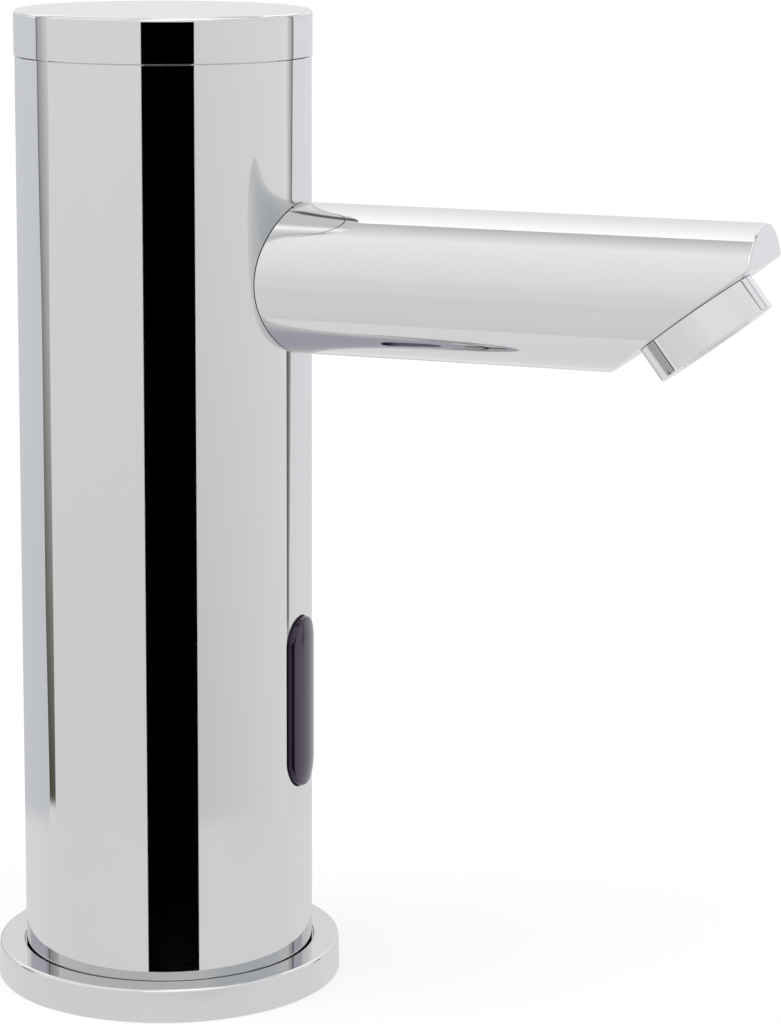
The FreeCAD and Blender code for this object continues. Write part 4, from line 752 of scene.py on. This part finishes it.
def step_face(x, wide, narrow):
    """Flat ring across the spout at x, facing the column."""
    return np.stack([wide * tube_n, narrow * tube_n]) + [x, 0, SPOUT_Z], -AXES[0]


bore_start = np.sqrt(SADDLE_R ** 2 - (SPOUT_BORE_R * np.cos(turn)) ** 2)
saddle = np.stack([spout_wall[0], pipe(SPOUT_BORE_R, bore_start, bore_start, 1)[0][0]])
saddle_n = -saddle * [1, 1, 0] / SADDLE_R
chrome_spout = plating("chrome_spout", (14.0, 320.0, 320.0))
skin("spout", [
    (spout_wall, tube_n[None]), (spout_edge, eased_n), (nose_face, face_side[:, None]),
    (slant_face, slant_axes[2]), bore_thread, (thread_floor, slant_axes[2]),
    (passage, to_axis[None]), (np.stack([seat_rim, seat_ring]), -AXES[0]),
    (saddle, saddle_n), pipe(SPOUT_BORE_R, bore_start, SPOUT_BORE_END, -1),
    step_face(SPOUT_BORE_END, SPOUT_BORE_R, SEAT_R), pipe(SEAT_R, SPOUT_BORE_END, SEAT_END, -1)],
    chrome_spout, replaces=["spout_tube"])

foot_brass.wear(nodes["spout_spigot"])
nut_brass = turned_brass("nut_brass", (0.7, 0.54, 0.28), 2600.0)
nut_brass.wear(nodes["spout_nut"])
gasket_rubber.wear(nodes["saddle_washer"])


def moulded(name, low, high, gloss=0.42, skin_scale=1800.0, depth=1.2e-5):
    """Moulded plastic: an even tone with slight flow clouds, and the fine texture of the tool."""
    plastic = Finish(name)
    flow = plastic.noise(plastic.place(), 90.0, 3.0)
    tool = plastic.noise(plastic.place(), skin_scale, 2.0)
    plastic.give("Base Color", plastic.blend(flow, low, high))
    plastic.give("Roughness", tool * 0.16 + gloss)
    plastic.relief(tool, depth)
    return plastic


# The water runs in a plastic pipe inside the spout, held at the valve by a spring clip.
moulded("pipe_plastic", (0.46, 0.53, 0.6), (0.56, 0.62, 0.68), 0.3).wear(nodes["spout_waterway"])
plain_steel("clip_steel", (60.0, 800.0, 800.0)).wear(
    nodes["waterway_clip"], nodes["sensor_bracket"])


# ---------------------------------------------------------------- aerator
# The aerator's housing is turned brass, chromed, and screws into the slant on a washer. A white
# plastic insert with a grid of fine openings is pressed in its mouth.
SHANK_IN_R, SHANK_R, SHANK_BACK = 9.55, 10.6, -6.5
SHELL_R, SHELL_BACK, SHELL_FRONT, LIP_R, LIP_BACK = 12.0, 0.02, 6.95, 8.15, 6.4
housing_outline = rounded([
    (SHANK_IN_R, SHANK_BACK, 0.1), (SHANK_R, SHANK_BACK, 0.1), (SHANK_R, SHELL_BACK),
    (SHELL_R, SHELL_BACK, 0.12), (SHELL_R, SHELL_FRONT, 0.35), (LIP_R, SHELL_FRONT, 0.3),
    (LIP_R, LIP_BACK), (SHANK_IN_R, LIP_BACK)], steps=8)
housing_angles = np.linspace(0, 360, 145)
# the shank's plain side gives way to its thread
SHANK_SIDE = 3
shank_thread = threaded(SHANK_R, 0.35, SHANK_BACK + 0.1, SHELL_BACK, np.radians(housing_angles), 1)
housing_runs = [run for i, run in enumerate(housing_outline) if i != SHANK_SIDE]
chrome_aerator = plating("chrome_aerator", (260.0, 260.0, 260.0), 1.06)
skin("aerator_shell", turned(housing_runs, housing_angles, slant_axes, mouth) + [shank_thread],
     chrome_aerator, body="aerator", replaces=["aerator_housing"])
moulded("insert_plastic", (0.72, 0.72, 0.7), (0.82, 0.82, 0.8), 0.34, 2400.0).wear(
    nodes["aerator_insert"])
ring_rubber.wear(nodes["aerator_washer"])


# ---------------------------------------------------------------- sensor
# A moulded window of dark violet plastic, clear to infrared, follows the column's curve. Its
# flange is pressed on a gasket behind the wall by the sensor's black housing.
FRONT_R, FRONT_OFF, FRONT_ROUND, FRONT_LEAN = 29.5, 5.3, 0.45, math.radians(12.0)
FLANGE_R, FLANGE_OFF, BACK_R = 24.85, 7.1, 23.45
quarter = np.linspace(-90, 90, 25)
rail = np.linspace(-WINDOW_HALF, WINDOW_HALF, 25)[1:-1]
way_turn = np.radians(np.concatenate([quarter[-1:] * 0, 0 * rail, quarter[12:], quarter[13:] + 90,
                                      180 + 0 * rail, quarter[12:] + 180, quarter[13:] + 270]))
medial = np.concatenate([[-WINDOW_HALF], rail, np.full(25, WINDOW_HALF), rail[::-1],
                         np.full(25, -WINDOW_HALF)])
way = np.stack([np.cos(way_turn), np.sin(way_turn)], 1)
bend = np.linspace(FRONT_LEAN, math.pi / 2, 9)
face_off = FRONT_OFF - FRONT_ROUND * (1 - math.sin(FRONT_LEAN))
swell = np.linspace(0, 1, 13)
EDGE_R = FRONT_R - face_off * math.tan(FRONT_LEAN) / 2
bent_r = EDGE_R - FRONT_ROUND * (math.cos(FRONT_LEAN) - np.cos(bend))


def pane(offset, radius, lean):
    """Rows of the window: at each offset from the middle line the surface lies on a cylinder of
    that radius, and its normal leans by lean from facing out (0) to facing sideways (90), on to
    facing in (180)."""
    offset, radius, lean = [np.array(v, float)[:, None] for v in (offset, radius, lean)]
    y = offset * way[:, 0]
    z = WINDOW_Z + medial + offset * way[:, 1]
    x = np.sqrt(radius ** 2 - y ** 2)
    out = np.stack([x / radius, y / radius, 0 * x], -1)
    side = np.stack([0 * x, way[:, 0] + 0 * x, way[:, 1] + 0 * x], -1)
    tilt = np.radians(lean)[..., None]
    return np.stack([x, y + 0 * x, z + 0 * x], -1), np.cos(tilt) * out + np.sin(tilt) * side


window_sheets = [
    pane(face_off * swell, FRONT_R - (FRONT_R - EDGE_R) * swell ** 2,
         np.degrees(np.arctan(swell * math.tan(FRONT_LEAN)))),
    pane(face_off + FRONT_ROUND * (np.sin(bend) - math.sin(FRONT_LEAN)), bent_r,
         np.degrees(bend)),
    pane([FRONT_OFF] * 2, [bent_r[-1], FLANGE_R], [90, 90]),
    pane([FRONT_OFF, FLANGE_OFF], [FLANGE_R] * 2, [0, 0]),
    pane([FLANGE_OFF] * 2, [FLANGE_R, BACK_R], [90, 90]),
    pane(np.linspace(FLANGE_OFF, 0, 5), np.full(5, BACK_R), np.full(5, 180.0))]
violet = Finish("window_plastic", IOR=1.57, Specular_Tint=(0.78, 0.62, 1.0, 1.0))
tint = violet.noise(violet.place(), 70.0, 2.0)
violet.give("Base Color", violet.blend(tint, (0.007, 0.004, 0.007), (0.013, 0.007, 0.014)))
violet.give("Roughness", tint * 0.05 + 0.11)
violet.relief(violet.noise(violet.place(), 700.0, 1.0), 4e-7)
window = skin("window", window_sheets, violet, replaces=["sensor_window"])
gasket_rubber.wear(nodes["window_gasket"])
moulded("case_plastic", (0.03, 0.03, 0.033), (0.055, 0.055, 0.06), 0.5, 1500.0, 3e-5).wear(
    nodes["sensor_housing"], nodes["carrier"], nodes["battery_tray"], nodes["coil_bobbin"])
moulded("bulb_plastic", (0.03, 0.012, 0.04), (0.06, 0.03, 0.075), 0.08, 300.0, 1e-6).wear(
    nodes["ir_emitter"], nodes["ir_receiver"])


# ---------------------------------------------------------------- circuit boards and leads
# Green lacquered boards carry the electronics. Copper tracks show through the lacquer as paler
# lines, and soldered joints as bright dots.
board = Finish("board_lacquer")
flat = board.place()
tracks = board.node("TexVoronoi", {"distance": "MANHATTAN"}, {"Vector": flat, "Scale": 320.0,
                                                             "Randomness": 0.55})
track = board.steps(board.maths("PINGPONG", tracks * 5.0, 0.5), 0.28, 0.36)
dots = board.node("TexVoronoi", {}, {"Vector": flat, "Scale": 420.0, "Randomness": 0.3})
dot = 1.0 - board.steps(dots, 0.2, 0.24)
lacquer = board.blend(track, (0.012, 0.13, 0.06), (0.03, 0.24, 0.1))
board.give("Base Color", board.blend(dot, lacquer, (0.62, 0.6, 0.55)))
board.give("Metallic", dot)
board.give("Roughness", dot * 0.1 + 0.3)
board.relief(track + dot, 3e-5)
board.wear(nodes["sensor_board"], nodes["control_board"])
moulded("chip_plastic", (0.018, 0.018, 0.02), (0.035, 0.035, 0.037), 0.6, 3200.0).wear(
    nodes["board_chip"])
moulded("plug_plastic", (0.74, 0.72, 0.66), (0.82, 0.8, 0.74), 0.4).wear(nodes["board_connector"])
# the leads are soft vinyl with a slight sheen
for lead, low, high in (("sensor", (0.02, 0.02, 0.02), (0.05, 0.05, 0.05)),
                        ("coil", (0.28, 0.02, 0.02), (0.4, 0.05, 0.04)),
                        ("battery", (0.3, 0.02, 0.02), (0.42, 0.05, 0.04))):
    moulded(lead + "_sheath", low, high, 0.36, 900.0, 2e-5).wear(nodes[lead + "_lead"])
can = Finish("capacitor_sleeve")
CAN_LID_Z = 103.7
lid = can.steps(can.along(2), CAN_LID_Z, CAN_LID_Z + 0.1)
speck = can.noise(can.place(), 900.0, 2.0)
can.give("Base Color", can.blend(lid, can.blend(speck, (0.012, 0.02, 0.05), (0.02, 0.035, 0.08)),
                                 (0.66, 0.66, 0.68)))
can.give("Metallic", lid)
can.give("Roughness", speck * 0.1 + 0.3)
can.wear(nodes["board_capacitor"])


# ---------------------------------------------------------------- inlet and check valve
# Water comes up through the foot into a turned brass housing, past a steel strainer and a check
# valve whose plastic poppet a wound steel spring holds shut, and on up a plastic pipe.
nut_brass.wear(nodes["inlet_housing"])
plain_steel("strainer_steel", (500.0, 500.0, 500.0), (0.55, 0.55, 0.56), 0.28).wear(
    nodes["inlet_strainer"])
moulded("valve_plastic", (0.7, 0.7, 0.67), (0.79, 0.79, 0.76), 0.4).wear(
    nodes["check_body"], nodes["riser_pipe"], nodes["valve_body"], nodes["valve_bonnet"])
moulded("poppet_plastic", (0.6, 0.62, 0.62), (0.7, 0.72, 0.72), 0.3).wear(
    nodes["check_poppet"], nodes["valve_piston"])


def wound(name, at, coil_r, wire_r, low, high, turns):
    """Compression spring: the wire's middle goes round at coil_r and rises with the turn, nearly
    level over the first and last turns, which are closed. A circle of wire_r is carried along
    it, square to the wire, and closes to a point at both tips."""
    part = np.linspace(0, 1, int(turns * 28) + 1)
    level = np.clip(part * turns, 0, 1), np.clip((1 - part) * turns, 0, 1)
    pace = 0.16 + 0.84 * np.minimum(*level) ** 2
    rise = np.concatenate([[0], np.cumsum((pace[1:] + pace[:-1]) / 2)])
    z = low + wire_r + (high - low - 2 * wire_r) * rise / rise[-1]
    angle = 2 * np.pi * turns * part
    line = np.stack([at[0] + coil_r * np.cos(angle), at[1] + coil_r * np.sin(angle), z], 1)
    ahead = np.gradient(line, axis=0)
    ahead /= np.linalg.norm(ahead, axis=1, keepdims=True)
    out = np.stack([np.cos(angle), np.sin(angle), 0 * angle], 1)
    up = np.cross(ahead, out)
    bead = np.radians(np.linspace(0, 360, 13))[None, :, None]
    ring = np.cos(bead) * out[:, None] + np.sin(bead) * up[:, None]
    points = line[:, None] + wire_r * ring
    caps = [(np.stack([points[i], np.broadcast_to(line[i], points[i].shape)]), s * ahead[i])
            for i, s in ((0, -1.0), (-1, 1.0))]
    return skin(name, [(points, ring)] + caps)


spring_steel = plain_steel("spring_steel", (400.0, 400.0, 400.0), (0.68, 0.68, 0.7), 0.14)
check_coil = wound("check_coil", (-14.0, 0.0), 2.9, 0.3, 22.2, 33.6, 7.0)
spring_steel.wear(check_coil)
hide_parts("check_spring")
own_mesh(check_coil)


# ---------------------------------------------------------------- solenoid valve
# A plastic valve with a piston. The solenoid's copper winding on a black bobbin lifts a steel
# plunger in a drawn guide tube, against a light spring, inside a bent steel yoke.
copper = Finish("enamelled_copper", Metallic=1.0)
WIRE_PITCH = 0.25
strand = copper.maths("PINGPONG", copper.along(2) * (1 / WIRE_PITCH), 0.5) * 2.0
tone = copper.noise(copper.place((300.0, 300.0, 2500.0)), 1.0, 2.0)
copper.give("Base Color", copper.blend(tone, (0.52, 0.19, 0.07), (0.72, 0.32, 0.14)))
copper.give("Roughness", tone * 0.14 + 0.2)
copper.relief(strand, 1.2e-4)
copper.wear(nodes["coil_winding"])
plain_steel("yoke_steel", (500.0, 500.0, 40.0), (0.5, 0.5, 0.51), 0.3).wear(nodes["coil_yoke"])
plain_steel("tube_steel", (500.0, 500.0, 60.0), (0.64, 0.64, 0.65), 0.18).wear(
    nodes["guide_tube"], nodes["valve_plunger"])
plunger_coil = wound("plunger_coil", (-7.5, 0.0), 2.6, 0.3, 117.1, 126.4, 7.0)
spring_steel.wear(plunger_coil)
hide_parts("plunger_spring")
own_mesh(plunger_coil)
ring_rubber.wear(nodes["piston_seal"])


# ---------------------------------------------------------------- cells
# Two small lithium cells lie side by side in the tray under the cap, in plain two-tone sleeves,
# with sprung steel contacts at the ends.
BAND_FROM, BARE_FROM = 10.4, 16.7
sleeve = Finish("cell_sleeve")
far = sleeve.maths("ABSOLUTE", sleeve.along(1))
band = sleeve.steps(far, BAND_FROM, BAND_FROM + 0.2)
bare = sleeve.steps(far, BARE_FROM, BARE_FROM + 0.1)
smear = sleeve.noise(sleeve.place(), 240.0, 3.0)
colour = sleeve.blend(band, (0.02, 0.09, 0.2), (0.5, 0.51, 0.53))
colour = sleeve.blend(smear * 0.25, colour, (0.02, 0.03, 0.05))
sleeve.give("Base Color", sleeve.blend(bare, colour, (0.72, 0.72, 0.73)))
sleeve.give("Metallic", sleeve.maths("MAXIMUM", bare, band * 0.6))
sleeve.give("Roughness", smear * 0.14 + 0.22)
sleeve.relief(smear, 1e-5)
sleeve.wear(nodes["battery_cell_1"], nodes["battery_cell_2"])
plain_steel("contact_steel", (300.0, 900.0, 300.0), (0.7, 0.7, 0.68), 0.15).wear(
    nodes["battery_contacts"])


# ---------------------------------------------------------------- light for the column alone
# Painted dark reflections: the lens slot of the tent shows black only in the column, its cap and
# the window, and the wider patch round it only in the window. Every other piece sees them lit like
# the rest of the tent.
def unlit_by(cover, *pieces):
    """Leaves the pieces out of what the cover lights."""
    others = bpy.data.collections.new(cover.name + "_unlit")
    for piece in pieces:
        others.objects.link(piece)
    for entry in others.collection_objects:
        entry.light_linking.link_state = "EXCLUDE"
    cover.light_linking.receiver_collection = others


unlit_by(slot, column, cap, window)
unlit_by(window_shade, window)
